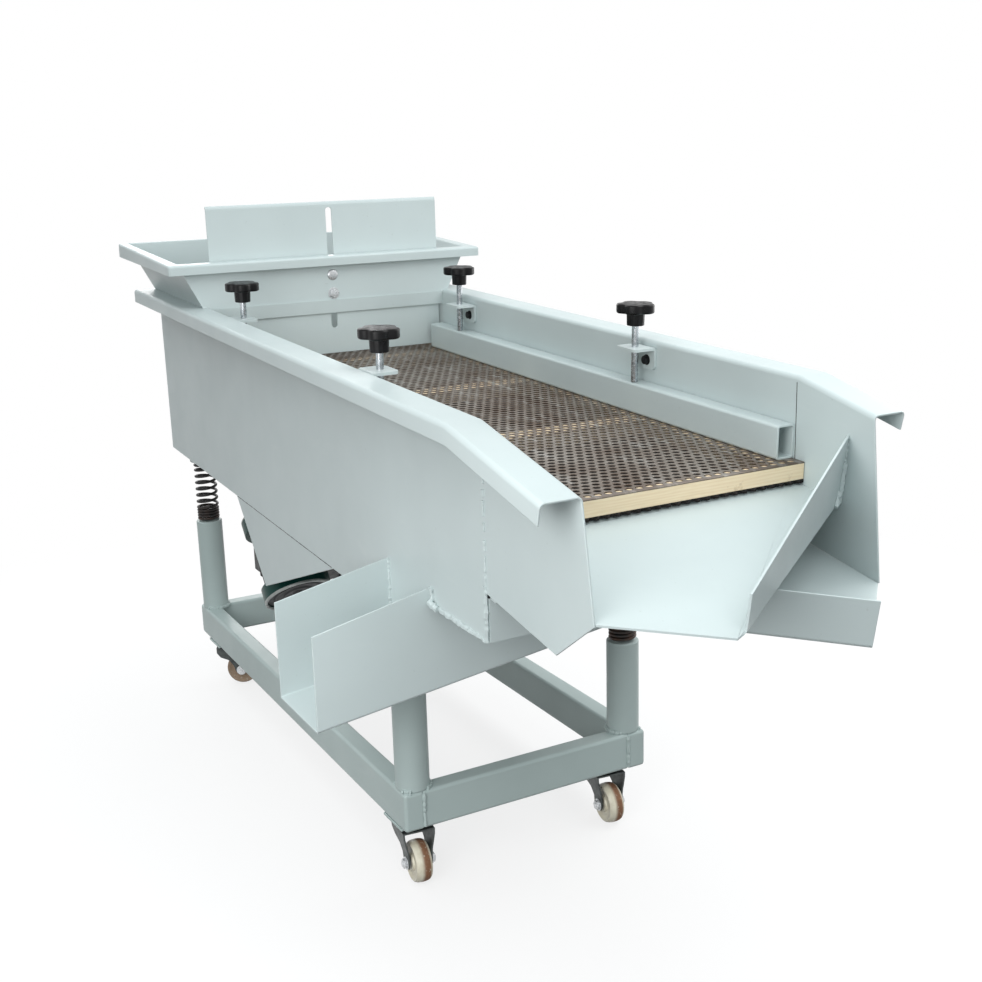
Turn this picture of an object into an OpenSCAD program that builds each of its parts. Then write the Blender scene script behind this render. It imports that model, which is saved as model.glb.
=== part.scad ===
// Mobile vibrating screen: a tilted screen box on four springs, over a base frame on casters.
// Millimetres, +Z up, floor at z = 0, discharge end toward -Y, middle of the base at x = y = 0.

/* [Base] */
// Length of the base frame along Y
base_l = 1176; // [1100:1:1240]
// Width of the base frame along X
base_w = 498; // [470:1:506]
// Width of the base tube
tube_w = 38; // [34:1:44]
// Height of the base tube
tube_h = 72; // [60:1:84]
// Diameter of the four posts
post_d = 60; // [52:1:64]
// Height of the front posts above the base tube
front_post_h = 177; // [165:1:185]

/* [Casters] */
// Wheel diameter
wheel_d = 75; // [68:1:79]
// Wheel width
wheel_w = 32; // [28:1:34]
// Height from the floor to the base tube
caster_h = 110; // [106:1:118]
// Distance from the swivel axis to the axle
trail = 30; // [26:1:34]
// Angle of the wheels away from straight, degrees
wheel_turn = 6; // [0:1:12]

/* [Box] */
// Width over the side walls
box_w = 546; // [540:1:570]
// Distance from the middle of the base to the rear wall
box_rear = 625; // [610:1:650]
// Slope of the box down toward the discharge end, degrees
deck_tilt = 2.1; // [1.9:0.1:2.4]
// Height of the rims at the middle of the base
rim_h = 929; // [922:1:940]
// Thickness of the sheet metal
sheet = 3; // [2:0.5:4]
// Width of the folded rim
rim_w = 57; // [45:1:70]
// Drop of the lip on the rim
rim_lip = 26; // [18:1:34]
// Depth of the side walls behind the fines chute
wall_depth = 378; // [370:1:386]

/* [Hopper] */
// Half width of the hopper at its rim
hopper_half = 357; // [340:1:375]
// Height of the hopper rim at its front edge
hopper_h = 1034; // [1020:1:1050]
// Height of the top edge of the feed gate when closed
gate_top = 1147; // [1130:1:1165]
// Width of the slot in the feed gate
slot_w = 14; // [12.5:0.5:17]

/* [Deck] */
// Depth from the rims down to the top of the perforated plate
deck_drop = 125; // [118:1:130]
// Thickness of the wooden frame
wood_t = 25; // [22:1:28]
// Height of the hold-down bars
bar_h = 54; // [46:1:58]
// Width of the hold-down bars
bar_w = 34; // [30:1:40]
// Diameter of the star knobs
knob_d = 68; // [64:1:76]

/* [Hidden] */
$fn = 64;

// colours
paint = [0.76, 0.82, 0.80];
dark_steel = [0.20, 0.21, 0.22];
bright_steel = [0.72, 0.73, 0.74];
wood = [0.90, 0.80, 0.62];
plate_brown = [0.42, 0.37, 0.33];
cream = [0.85, 0.82, 0.72];
motor_green = [0.02, 0.22, 0.19];
black = [0.06, 0.06, 0.06];

// base and posts
base_top = caster_h + tube_h;
post_x = base_w/2 - post_d/2;
post_y = base_l/2 - post_d/2;
slope = tan(deck_tilt);
front_top = base_top + front_post_h;
rear_top = front_top + 2*post_y*slope;
spring_h = 146;
spring_r = 26;
spring_wire = 6;

// casters: inset of the swivel axes from the outer edges of the base
caster_left = base_w/2 - 37;
caster_right = base_w/2 - 60;
caster_front = -base_l/2 + 58;
caster_rear = base_l/2 - 88;
// the rear left caster stands turned, as it was left
rear_left_turn = -60;
fork_gap = 3.5;
fork_t = 3;
axle_r = 5;
pin_r = 6;
fit = 0.05;

// side walls
wall_x = box_w/2;
in_x = wall_x - sheet;
seat_d = 66;
chute_gap = 33;
chute_l = 156;
chute_rear = -post_y - seat_d/2 - chute_gap;
chute_front = chute_rear - chute_l;
front_l = 170;
seam_y = chute_front - front_l;
fold_y = seam_y - sheet;
left_reach = 239;
right_reach = 158;
left_front = fold_y - left_reach;
right_front = fold_y - right_reach;
front_slope = 0.229;
front_depth = 312;
function rim(y) = rim_h + y*slope;
function low(y) = rim(y) - wall_depth;
function front_low(y) = rim(y) - front_depth;
function rim_front(y) = rim(fold_y) + (y - fold_y)*front_slope;

// trays under the discharge end of the deck
tray_slope = 9.5;
tray_gap = 2;
tray_rear = fold_y - tray_gap;
upper_depth = 160;
lower_depth = 245;
upper_z = rim(fold_y) - upper_depth;
lower_z = rim(fold_y) - lower_depth;
function tray_u(y) = (y - tray_rear)/cos(tray_slope);

// lower corners of the front panels, from the fold in the rims and from the lower tray
heel_reach = 177;
heel_drop = 26;
tip_reach = 264;
tip_rise = 38;
panel_rise = 4;
right_tip_reach = 181;
right_tip_drop = 31;

// hopper and feed gate
hop_front = 212;
hop_rear = 624;
hop_wall = 238;
hop_tilt = 4;
hop_t = 2;
hop_lip = 20;
hop_flare = 0.51;
hop_back = 0.12;
hop_foot = in_x + 12;
hop_step = 0.6;
gate_gap = 0.5;
gate_y = hop_wall + hop_t + gate_gap;
gate_t = 3;
gate_half = in_x - hop_t - 5;
gate_fold = 10;
gate_bottom = rim(gate_y) - deck_drop + 7;
slot_top = gate_top - 13;
slot_bottom = gate_bottom + 55;
bolt_x = 7;
bolt_low = gate_bottom + 131;
bolt_high = bolt_low + 40;

// deck, bars and clamps, in the tilted frame of the box
plate_t = 2;
under_t = 3;
deck_front = fold_y - 26;
deck_end = 572;
rail_t = 6;
bar_front = fold_y + 1;
rail_front = fold_y + 15;
bar_end = gate_y - 14;
clamp_x = in_x - 26;
clamp_front = -564;
clamp_rear = 99;
rod_r = 6.3;
knob_w = 29.5;
bay = (deck_end - deck_front)/4;

// Moves the middle of the bounding box, in plan, to the origin.
module placed() {
    translate([-(chute_out + hopper_half)/2, (front_end - box_rear)/2, 0]) children();
}

// Puts children in the frame of the box: y along the deck, z up from the rims.
module tilted() {
    translate([0, 0, rim_h]) rotate([deck_tilt, 0, 0]) children();
}

// A plate cut from a profile in the YZ plane, from x to x + t.
module yz_plate(x, t, pts) {
    translate([x, 0, 0]) rotate([90, 0, 90]) linear_extrude(height = t) polygon(pts);
}

// A plate cut from a profile in the XZ plane, from y to y + t.
module xz_plate(y, t, pts) {
    translate([0, y + t, 0]) rotate([90, 0, 0]) linear_extrude(height = t) polygon(pts);
}

module base_frame() {
    color(paint) translate([0, 0, caster_h]) difference() {
        translate([-base_w/2, -base_l/2, 0]) cube([base_w, base_l, tube_h]);
        translate([-base_w/2 + tube_w, -base_l/2 + tube_w, -1])
            cube([base_w - 2*tube_w, base_l - 2*tube_w, tube_h + 2]);
    }
}

module post(x, y, top) {
    translate([x, y, base_top]) cylinder(h = top - base_top, d = post_d);
}

module posts() {
    color(paint) {
        for (s = [-1, 1]) {
            post(s*post_x, -post_y, front_top);
            post(s*post_x, post_y, rear_top);
        }
    }
}

module coil(x, y, z) {
    translate([x, y, z]) difference() {
        cylinder(h = spring_h, r = spring_r);
        translate([0, 0, -1]) cylinder(h = spring_h + 2, r = spring_r - spring_wire);
    }
}

module springs_front() {
    color(black) for (s = [-1, 1]) coil(s*post_x, -post_y, front_top);
}

module springs_rear() {
    color(black) for (s = [-1, 1]) coil(s*post_x, post_y, rear_top);
}

plate_w = 74;

// Fixed plate of one caster, bored for the swivel pin.
module caster_plate(x, y) {
    translate([x, y, caster_h - 5]) difference() {
        translate([-plate_w/2, -plate_w/2, 0]) cube([plate_w, plate_w, 5]);
        translate([0, 0, -1]) cylinder(h = 7, r = pin_r + fit);
    }
}

module caster_plates() {
    color(dark_steel) {
        caster_plate(-caster_left, caster_front);
        caster_plate(caster_right, caster_front);
        caster_plate(-caster_left, caster_rear);
        caster_plate(caster_right, caster_rear);
    }
}

// Profile of one fork cheek, in the YZ plane of the caster.
module cheek_shape() {
    polygon([[20, caster_h - 12], [-trail - 8, caster_h - 12], [-trail - 12, wheel_d/2 + 2],
             [-trail + 12, wheel_d/2 - 4], [12, caster_h - 46], [20, caster_h - 30]]);
    translate([-trail, wheel_d/2]) circle(r = 13);
}

// Swivelling fork with its axle, swivel pin and nuts.
module fork(x, y, turn = wheel_turn) {
    half = wheel_w/2 + fork_gap;
    color(dark_steel) translate([x, y, 0]) rotate([0, 0, -turn]) {
        for (s = [-1, 1])
            translate([s*(half + fork_t/2) - fork_t/2, 0, 0]) rotate([90, 0, 90])
                linear_extrude(height = fork_t) cheek_shape();
        translate([-half - fork_t, -trail - 8, caster_h - 12]) cube([2*(half + fork_t), trail + 28, 3]);
        translate([0, 0, caster_h - 9]) cylinder(h = 3, r = 22);
        translate([0, 0, caster_h - 10]) cylinder(h = 9.5, r = pin_r);
        translate([-half - fork_t - 8, -trail, wheel_d/2]) rotate([0, 90, 0])
            cylinder(h = 2*(half + fork_t) + 16, r = axle_r);
        for (s = [-1, 1])
            translate([s*(half + fork_t + 3), -trail, wheel_d/2]) rotate([0, 90, 0])
                cylinder(h = 6, r = 9, center = true, $fn = 6);
    }
}

module fork_fl() { fork(-caster_left, caster_front); }
module fork_fr() { fork(caster_right, caster_front); }
module fork_rl() { fork(-caster_left, caster_rear, rear_left_turn); }
module fork_rr() { fork(caster_right, caster_rear); }

// Crowned wheel with a bored hub.
module wheel(x, y, turn = wheel_turn) {
    r = wheel_d/2;
    h = wheel_w/2;
    color(cream) translate([x, y, 0]) rotate([0, 0, -turn]) translate([0, -trail, r]) rotate([0, 90, 0])
        rotate_extrude(angle = 360) union() {
            polygon([[axle_r + fit, -h], [15, -h], [18, -h + 4], [r - 8, -h + 4], [r - 4, -h + 2],
                     [r - 4, h - 2], [r - 8, h - 4], [18, h - 4], [15, h], [axle_r + fit, h]]);
            polygon([[r - 5, -h + 2.4], [r, -h + 6], [r, h - 6], [r - 5, h - 2.4]]);
        }
}

module wheel_fl() { wheel(-caster_left, caster_front); }
module wheel_fr() { wheel(caster_right, caster_front); }
module wheel_rl() { wheel(-caster_left, caster_rear, rear_left_turn); }
module wheel_rr() { wheel(caster_right, caster_rear); }

// Rim folded outward from one wall, s is -1 left and 1 right, ending at y = front.
module rim_fold(s, front) {
    x0 = s < 0 ? -wall_x - rim_w : wall_x - sheet;
    xl = s < 0 ? -wall_x - rim_w : wall_x + rim_w - sheet;
    yz_plate(x0, rim_w + sheet, [[box_rear, rim(box_rear)], [fold_y, rim(fold_y)], [front, rim_front(front)],
        [front, rim_front(front) - sheet], [fold_y, rim(fold_y) - sheet], [box_rear, rim(box_rear) - sheet]]);
    yz_plate(xl, sheet, [[box_rear, rim(box_rear)], [fold_y, rim(fold_y)], [front, rim_front(front)],
        [front + 6, rim_front(front) - rim_lip], [fold_y, rim(fold_y) - rim_lip],
        [box_rear, rim(box_rear) - rim_lip]]);
}

// The left wall also hangs between the two chute plates, clear of them.
plate_slot = sheet + 0.5;

module wall_left() {
    color(paint) union() {
        yz_plate(-wall_x, sheet, [[box_rear, rim(box_rear)], [box_rear, low(box_rear)],
            [chute_rear, low(chute_rear)], [chute_rear, front_low(chute_rear)],
            [chute_rear - plate_slot, front_low(chute_rear)], [chute_rear - plate_slot, low(chute_rear)],
            [chute_front + plate_slot, low(chute_front)], [chute_front + plate_slot, front_low(chute_front)],
            [seam_y, front_low(seam_y)],
            [seam_y, lower_z + panel_rise], [fold_y - heel_reach, lower_z - heel_drop],
            [fold_y - tip_reach, lower_z + tip_rise],
            [left_front, rim_front(left_front)], [fold_y, rim(fold_y)]]);
        rim_fold(-1, left_front);
    }
}

module wall_right() {
    color(paint) union() {
        yz_plate(in_x, sheet, [[box_rear, rim(box_rear)], [box_rear, low(box_rear)],
            [chute_front, low(chute_front)], [chute_front, front_low(chute_front)],
            [seam_y, front_low(seam_y)], [seam_y, lower_z],
            [fold_y - right_tip_reach, lower_z - right_tip_drop],
            [right_front, rim_front(right_front)], [fold_y, rim(fold_y)]]);
        rim_fold(1, right_front);
    }
}

module rear_wall() {
    color(paint) xz_plate(box_rear - sheet, sheet, [[-in_x, low(box_rear)], [in_x, low(box_rear)],
        [in_x, rim(box_rear) - 0.2], [-in_x, rim(box_rear) - 0.2]]);
}

// Sheet parallel to the deck, its underside at depth d under the rims, between two y values.
module deck_sheet(d, t, y0, y1) {
    intersection() {
        tilted() translate([-in_x, y0 - 60, -d*cos(deck_tilt)]) cube([2*in_x, y1 - y0 + 120, t]);
        translate([-in_x, y0, 0]) cube([2*in_x, y1 - y0, rim_h*2]);
    }
}

module floor_pan() {
    color(paint) {
        deck_sheet(wall_depth, sheet, chute_rear, box_rear - sheet);
        union() {
            deck_sheet(front_depth, sheet, seam_y, chute_front);
            translate([-in_x, seam_y - sheet, front_low(seam_y)])
                cube([2*in_x, sheet, lower_z - front_low(seam_y) - 3]);
        }
    }
}

module lower_deck() {
    color(plate_brown) deck_sheet(lower_depth, sheet, seam_y, box_rear - sheet);
}

// Blocks between the floor pan and the springs.
module spring_seats() {
    color(paint) difference() {
        for (s = [-1, 1]) {
            translate([s*post_x, -post_y, front_top + spring_h]) cylinder(h = spring_h, d = seat_d);
            translate([s*post_x, post_y, rear_top + spring_h]) cylinder(h = spring_h, d = seat_d);
        }
        tilted() translate([-wall_x, -base_l, -wall_depth*cos(deck_tilt)]) cube([2*wall_x, 2*base_l, 400]);
    }
}

gusset_t = 6;
gusset_rear = 145;
gusset_front = -383;
gusset_y = -3;
gusset_drop = 153;

// Triangular plates under the side walls.
module motor_gussets() {
    color(paint) for (s = [-1, 1])
        yz_plate(s < 0 ? -wall_x : wall_x - gusset_t, gusset_t, [[gusset_rear, low(gusset_rear)],
            [gusset_y, low(0) - gusset_drop], [gusset_front, low(gusset_front)]]);
}

motor_x = wall_x - 81;
motor_y = 92;
motor_drop = 125;
motor_z = low(0) - motor_drop;
motor_r = 72;
motor_core = 62;
motor_len = 194;
motor_end = 36;
motor_tilt = 50;
mount_l = 70;
mount_back = 82;
mount_lift = 20;
mount_gap = 0.3;

// Places children at one motor, z along its shaft.
module at_motor(s) {
    translate([s*motor_x, motor_y, motor_z]) rotate([motor_tilt - 90, 0, 0]) children();
}

// Block between a gusset and the body of its motor.
module motor_mounts() {
    color(paint) for (s = [-1, 1]) difference() {
        translate([s < 0 ? -wall_x + gusset_t : motor_x + motor_core/2, motor_y - mount_back,
            motor_z + mount_lift - mount_l/2])
            cube([wall_x - motor_x - motor_core/2 - gusset_t, mount_l, mount_l]);
        at_motor(s) cylinder(h = motor_len, r = motor_core + mount_gap, center = true);
        for (e = [-1, 1]) at_motor(s) translate([0, 0, e*(motor_len - motor_end)/2])
            cylinder(h = motor_end + 2*mount_gap, r = motor_r + mount_gap, center = true);
    }
}

module motors() {
    color(motor_green) for (s = [-1, 1]) at_motor(s) union() {
        cylinder(h = motor_len - motor_end, r = motor_core, center = true);
        for (e = [-1, 1])
            translate([0, 0, e*(motor_len - motor_end)/2]) cylinder(h = motor_end, r = motor_r, center = true);
    }
}

// Frame of a tray: y along its slope from its rear edge, z square to it.
module on_tray(z) {
    translate([0, tray_rear, z]) rotate([tray_slope, 0, 0]) children();
}

// Upright plate on a tray from one point to another, with a height at each end.
module fence(p, q, hp, hq, t) {
    d = q - p;
    len = norm(d);
    translate([p[0], p[1], 0]) rotate([0, 0, atan2(d[1], d[0])]) rotate([90, 0, 0])
        linear_extrude(height = t) polygon([[0, 0], [len, 0], [len, hq], [0, hp]]);
}

// corners of the trays: at the lips, and where the fences meet the walls
lip_x = -114;
lip_reach = 347;
fence_reach = 90;
low_lip_x = 125;
low_lip_reach = 317;
low_fence_reach = 19;
lip_fence_h = 50;
wall_fence_h = 107;
low_fence_h = 68;
up_lip = [lip_x, tray_u(fold_y - lip_reach)];
up_tip = up_lip - [19, 10.5/cos(tray_slope)];
up_wall = [in_x, tray_u(fold_y - fence_reach)];
low_lip = [low_lip_x, tray_u(fold_y - low_lip_reach)];
low_wall = [-in_x, tray_u(fold_y - low_fence_reach)];
fence_turn = atan2(up_wall[1] - up_lip[1], up_wall[0] - up_lip[0]);
front_end = lip_reach - fold_y + lip_fence_h*sin(tray_slope) + sheet*cos(tray_slope)*cos(fence_turn);

module upper_tray() {
    color(paint) on_tray(upper_z) union() {
        translate([0, 0, -sheet]) linear_extrude(height = sheet)
            polygon([[-in_x, 0], [-in_x, tray_u(fold_y - tip_reach)], up_tip, up_lip, up_wall, [in_x, 0]]);
        intersection() {
            fence(up_lip, up_wall + [8, 8*(up_wall[1] - up_lip[1])/(up_wall[0] - up_lip[0])],
                lip_fence_h, wall_fence_h, sheet);
            translate([-in_x, -600, -1]) cube([2*in_x, 700, 200]);
        }
    }
}

module lower_tray() {
    color(paint) on_tray(lower_z) union() {
        translate([0, 0, -sheet]) linear_extrude(height = sheet)
            polygon([[-in_x, 0], low_wall, low_lip, [in_x, tray_u(fold_y - right_tip_reach)], [in_x, 0]]);
        intersection() {
            translate([0, 0, -0.01]) fence(low_wall - [8, 8*(low_lip[1] - low_wall[1])/(low_lip[0] - low_wall[0])],
                low_lip, low_fence_h, low_fence_h, sheet);
            translate([-in_x, -600, -1]) cube([2*in_x, 700, 200]);
        }
    }
}

chute_reach = 193;
chute_drop = 163;
chute_out = -wall_x - chute_reach;
chute_low = front_low(chute_front) - chute_drop;
chute_rise = 0.125;
chute_rear_h = 157;
chute_rear_wall_h = 172;
chute_front_h = 150;
chute_front_wall_h = 166;
function chute_z(x) = chute_low + (x - chute_out)*chute_rise;

module fines_chute() {
    color(paint) union() {
        xz_plate(chute_rear - sheet, sheet, [[chute_out, chute_z(chute_out)], [in_x, chute_z(in_x)],
            [in_x, low(chute_rear) + 2], [-in_x, low(chute_rear) + 2], [-in_x, front_low(chute_rear) - 1],
            [-wall_x, front_low(chute_rear) - 1], [-wall_x, chute_z(-wall_x) + chute_rear_wall_h],
            [chute_out, chute_z(chute_out) + chute_rear_h]]);
        xz_plate(chute_front, sheet, [[chute_out, chute_z(chute_out)], [in_x, chute_z(in_x)],
            [in_x, front_low(chute_front) - 1], [-wall_x, front_low(chute_front) - 1],
            [-wall_x, chute_z(-wall_x) + chute_front_wall_h], [chute_out, chute_z(chute_out) + chute_front_h]]);
        xz_plate(chute_front, chute_rear - chute_front, [[chute_out, chute_z(chute_out)], [in_x, chute_z(in_x)],
            [in_x, chute_z(in_x) + sheet], [chute_out, chute_z(chute_out) + sheet]]);
    }
}

// Solid of the funnel, its faces moved in by e and its ends out by d.
module funnel(e, d) {
    top = 110 + 2*d;
    low_y = hop_rear - 18 - e;
    side_x = hop_foot - e;
    high_z = hopper_h + 24 + 2*d;
    intersection() {
        tilted() translate([0, hop_rear + 60, 0]) rotate([90, 0, 0]) linear_extrude(height = 500)
            polygon([[-in_x + e, -20 - d], [in_x - e, -20 - d], [in_x - e, hop_step + e],
                     [side_x + e*hop_flare, hop_step + e], [side_x + top*hop_flare, top],
                     [-side_x - top*hop_flare, top], [-side_x - e*hop_flare, hop_step + e], [-in_x + e, hop_step + e]]);
        yz_plate(-hopper_half - 40, 2*hopper_half + 80, [[hop_wall + e, rim(hop_wall) - 30 - d],
            [hop_wall + e, hopper_h - 1 + 2*d], [low_y + hop_back*(high_z - rim(low_y)), high_z],
            [low_y, rim(low_y)], [low_y, rim(low_y) - 30 - d]]);
    }
}

module hopper() {
    color(paint) difference() {
        union() {
            funnel(0, 0);
            translate([0, hop_wall, hopper_h]) rotate([hop_tilt, 0, 0]) difference() {
                translate([-hopper_half, hop_front - hop_wall, -hop_lip])
                    cube([2*hopper_half, hop_rear - hop_front, hop_lip]);
                translate([-hopper_half + hop_t, hop_front - hop_wall + hop_t, -hop_lip - 1])
                    cube([2*(hopper_half - hop_t), hop_rear - hop_front - 2*hop_t, hop_lip + 1 - hop_t]);
            }
        }
        funnel(hop_t, 12);
        for (z = [bolt_low, bolt_high])
            translate([bolt_x, hop_wall - 20, z]) rotate([-90, 0, 0]) cylinder(h = 40, r = 5.3);
    }
}

module gate_bolts() {
    color(bright_steel) for (z = [bolt_low, bolt_high])
        translate([bolt_x, hop_wall - 0.4, z]) rotate([-90, 0, 0]) union() {
            translate([0, 0, -7]) cylinder(h = 7, r = 11);
            translate([0, 0, -3]) cylinder(h = 17, r = 5);
            translate([0, 0, 8.4]) cylinder(h = 6, r = 9, $fn = 6);
        }
}

module feed_gate() {
    turn = gate_top - gate_fold;
    color(paint) difference() {
        yz_plate(-gate_half, 2*gate_half, [[gate_y, gate_bottom], [gate_y + gate_t, gate_bottom],
            [gate_y + gate_t, turn - gate_t/2], [gate_y + gate_fold, gate_top - gate_t],
            [gate_y + gate_fold, gate_top], [gate_y + gate_fold - gate_t/2, gate_top], [gate_y, turn]]);
        translate([bolt_x - slot_w/2, gate_y - 1, slot_bottom + slot_w/2])
            cube([slot_w, gate_t + 2, slot_top - slot_bottom - slot_w]);
        for (z = [slot_bottom + slot_w/2, slot_top - slot_w/2])
            translate([bolt_x, gate_y - 1, z]) rotate([-90, 0, 0]) cylinder(h = gate_t + 2, d = slot_w);
    }
}

deck_half = in_x - 1.5;
plate_top = -deck_drop;
wood_top = plate_top - plate_t;
under_top = wood_top - wood_t;
rail_top = under_top - under_t;

module deck_rails() {
    color(dark_steel) tilted() for (s = [-1, 1])
        translate([s < 0 ? -in_x : in_x - 25, rail_front, rail_top - rail_t])
            cube([25, deck_end - rail_front, rail_t]);
}

module sieve_frame() {
    color(wood) tilted() difference() {
        translate([-deck_half, deck_front, under_top]) cube([2*deck_half, deck_end - deck_front, wood_t]);
        for (i = [0:3])
            translate([-deck_half + 45, deck_front + i*bay + 20, under_top - 1])
                cube([2*deck_half - 90, bay - 40, wood_t + 2]);
    }
}

module sieve_plate() {
    color(plate_brown) tilted() difference() {
        translate([-deck_half, deck_front, wood_top]) cube([2*deck_half, deck_end - deck_front, plate_t]);
        for (i = [0:3])
            for (j = [-1, 0, 1])
                translate([j*120, deck_front + (i + 0.5)*bay, wood_top - 1]) cylinder(h = plate_t + 2, r = 5);
    }
}

module under_plate() {
    color(dark_steel) tilted() translate([-deck_half, deck_front, rail_top])
        cube([2*deck_half, deck_end - deck_front, under_t]);
}

module hold_down_bars() {
    color(paint) tilted() for (s = [-1, 1])
        difference() {
            translate([s < 0 ? -in_x : in_x - bar_w, bar_front, plate_top]) cube([bar_w, bar_end - bar_front, bar_h]);
            translate([s < 0 ? -in_x + 4 : in_x - bar_w + 4, bar_front - 1, plate_top + 4])
                cube([bar_w - 8, bar_end - bar_front + 2, bar_h - 8]);
        }
}

tab_l = 58;
tab_t = 5;
tab_out = 21;
leg_h = 40;

// Underside of each bracket's tab: they sit a little higher on the left wall.
function tab_low(s, y) = (s < 0 ? -3 : -13) - (y > 0 ? 5 : 0);

// Angle bracket on the inside of a wall, drilled for the clamp rod.
module bracket(s, y) {
    low = tab_low(s, y);
    difference() {
        union() {
            translate([s < 0 ? -in_x : clamp_x - tab_out, y - tab_l/2, low])
                cube([in_x - clamp_x + tab_out, tab_l, tab_t]);
            translate([s < 0 ? -in_x : in_x - tab_t, y - tab_l/2, low + tab_t - leg_h]) cube([tab_t, tab_l, leg_h]);
        }
        translate([s*clamp_x, y, low - 10]) cylinder(h = 30, r = rod_r + fit);
    }
}

module clamp_brackets() {
    color(paint) tilted() for (s = [-1, 1])
        for (y = [clamp_front, clamp_rear]) bracket(s, y);
}

module rod(s, y) {
    color(bright_steel) tilted() translate([s*clamp_x, y, plate_top + bar_h])
        cylinder(h = knob_w + 11 - plate_top - bar_h, r = rod_r);
}

// Head of five lobes over a hub, bored for the rod.
module knob(s, y) {
    lobe = knob_d*0.18;
    color(black) tilted() translate([s*clamp_x, y, knob_w]) difference() {
        union() {
            cylinder(h = 23, r = knob_d*0.24);
            translate([0, 0, 21]) cylinder(h = 20, r = knob_d*0.40);
            for (i = [0:4])
                rotate([0, 0, i*72 - 118]) translate([knob_d/2 - lobe, 0, 22]) cylinder(h = 17, r = lobe);
        }
        translate([0, 0, -1]) cylinder(h = 12, r = rod_r);
    }
}

module rod_fl() { rod(-1, clamp_front); }
module rod_fr() { rod(1, clamp_front); }
module rod_rl() { rod(-1, clamp_rear); }
module rod_rr() { rod(1, clamp_rear); }
module knob_fl() { knob(-1, clamp_front); }
module knob_fr() { knob(1, clamp_front); }
module knob_rl() { knob(-1, clamp_rear); }
module knob_rr() { knob(1, clamp_rear); }

placed() base_frame();
placed() posts();
placed() caster_plates();
placed() springs_front();
placed() springs_rear();
placed() fork_fl();
placed() fork_fr();
placed() fork_rl();
placed() fork_rr();
placed() wheel_fl();
placed() wheel_fr();
placed() wheel_rl();
placed() wheel_rr();
placed() wall_left();
placed() wall_right();
placed() rear_wall();
placed() floor_pan();
placed() lower_deck();
placed() spring_seats();
placed() motor_gussets();
placed() motor_mounts();
placed() motors();
placed() upper_tray();
placed() lower_tray();
placed() fines_chute();
placed() hopper();
placed() gate_bolts();
placed() feed_gate();
placed() deck_rails();
placed() sieve_frame();
placed() sieve_plate();
placed() under_plate();
placed() hold_down_bars();
placed() clamp_brackets();
placed() rod_fl();
placed() rod_fr();
placed() rod_rl();
placed() rod_rr();
placed() knob_fl();
placed() knob_fr();
placed() knob_rl();
placed() knob_rr();
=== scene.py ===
import math
import random

import bmesh
import bpy
from mathutils import Matrix, Vector


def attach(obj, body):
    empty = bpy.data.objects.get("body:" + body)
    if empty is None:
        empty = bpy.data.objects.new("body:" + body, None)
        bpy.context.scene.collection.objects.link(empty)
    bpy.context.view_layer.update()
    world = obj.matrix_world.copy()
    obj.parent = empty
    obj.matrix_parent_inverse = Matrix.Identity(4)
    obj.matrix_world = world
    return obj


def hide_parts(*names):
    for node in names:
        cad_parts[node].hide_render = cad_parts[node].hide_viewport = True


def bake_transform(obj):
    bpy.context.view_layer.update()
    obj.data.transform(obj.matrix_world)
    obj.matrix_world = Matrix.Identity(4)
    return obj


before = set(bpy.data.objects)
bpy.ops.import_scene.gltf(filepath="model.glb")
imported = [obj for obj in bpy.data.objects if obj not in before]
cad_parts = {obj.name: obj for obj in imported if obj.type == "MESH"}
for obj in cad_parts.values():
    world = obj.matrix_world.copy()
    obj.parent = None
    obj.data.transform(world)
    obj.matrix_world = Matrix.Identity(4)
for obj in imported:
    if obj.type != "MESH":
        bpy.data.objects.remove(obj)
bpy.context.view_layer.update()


def shift(x, y, z):
    return Matrix.Translation((x, y, z))


def about(angle, axis):
    return Matrix.Rotation(angle, 4, axis)


# Lengths are millimetres from the middle of the base until a piece is settled.
MM = 0.001
QUARTER = math.pi / 2
PLACE = shift(0.0545, 0.34285, 0.0) @ Matrix.Scale(MM, 4)

# Base, posts and springs
BASE_X, BASE_Y = 249.0, 588.0
TUBE_W = 38.0
TUBE_LOW, TUBE_TOP = 110.0, 182.0
POST_X, POST_Y, POST_R = 219.0, 558.0, 30.0
SPRING_H, SPRING_R, WIRE_R = 146.0, 26.0, 3.3
SEAT_R = 33.0

# Box: rims, walls and trays
TILT = math.radians(2.1)
SLOPE = math.tan(TILT)
RIM_H = 929.0
SHEET = 3.0
WALL_X, IN_X = 273.0, 270.0
RIM_W, RIM_LIP = 57.0, 26.0
BOX_REAR = 625.0
CHUTE_REAR, CHUTE_FRONT = -624.0, -780.0
SEAM_Y, FOLD_Y = -950.0, -953.0
TRAY_REAR = -955.0
TRAY_SLOPE = math.radians(9.5)
BOX_DEPTH, FRONT_DEPTH = 378.0, 312.0
FRONT_SLOPE = 0.229
POST_H = 177.0
LEFT_TIP, RIGHT_TIP = -1217.0, -1134.0


def rim(y):
    return RIM_H + y * SLOPE


def low(y):
    return rim(y) - BOX_DEPTH


def front_low(y):
    return rim(y) - FRONT_DEPTH


def rim_front(y):
    return rim(FOLD_Y) + (y - FOLD_Y) * FRONT_SLOPE


def tray_u(y):
    return (y - TRAY_REAR) / math.cos(TRAY_SLOPE)


FRONT_TOP = TUBE_TOP + POST_H
REAR_TOP = FRONT_TOP + 2 * POST_Y * SLOPE
POSTS = [(s * POST_X, y, top) for s in (-1, 1) for y, top in ((-POST_Y, FRONT_TOP), (POST_Y, REAR_TOP))]
UPPER_Z = rim(FOLD_Y) - 160.0
LOWER_Z = rim(FOLD_Y) - 245.0
DECK_FRAME = shift(0, 0, RIM_H) @ about(TILT, "X")


def tray_frame(z):
    return shift(0, TRAY_REAR, z) @ about(TRAY_SLOPE, "X")


# Mesh helpers
def new_verts(result):
    return [g for g in result["geom"] if isinstance(g, bmesh.types.BMVert)]


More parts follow.
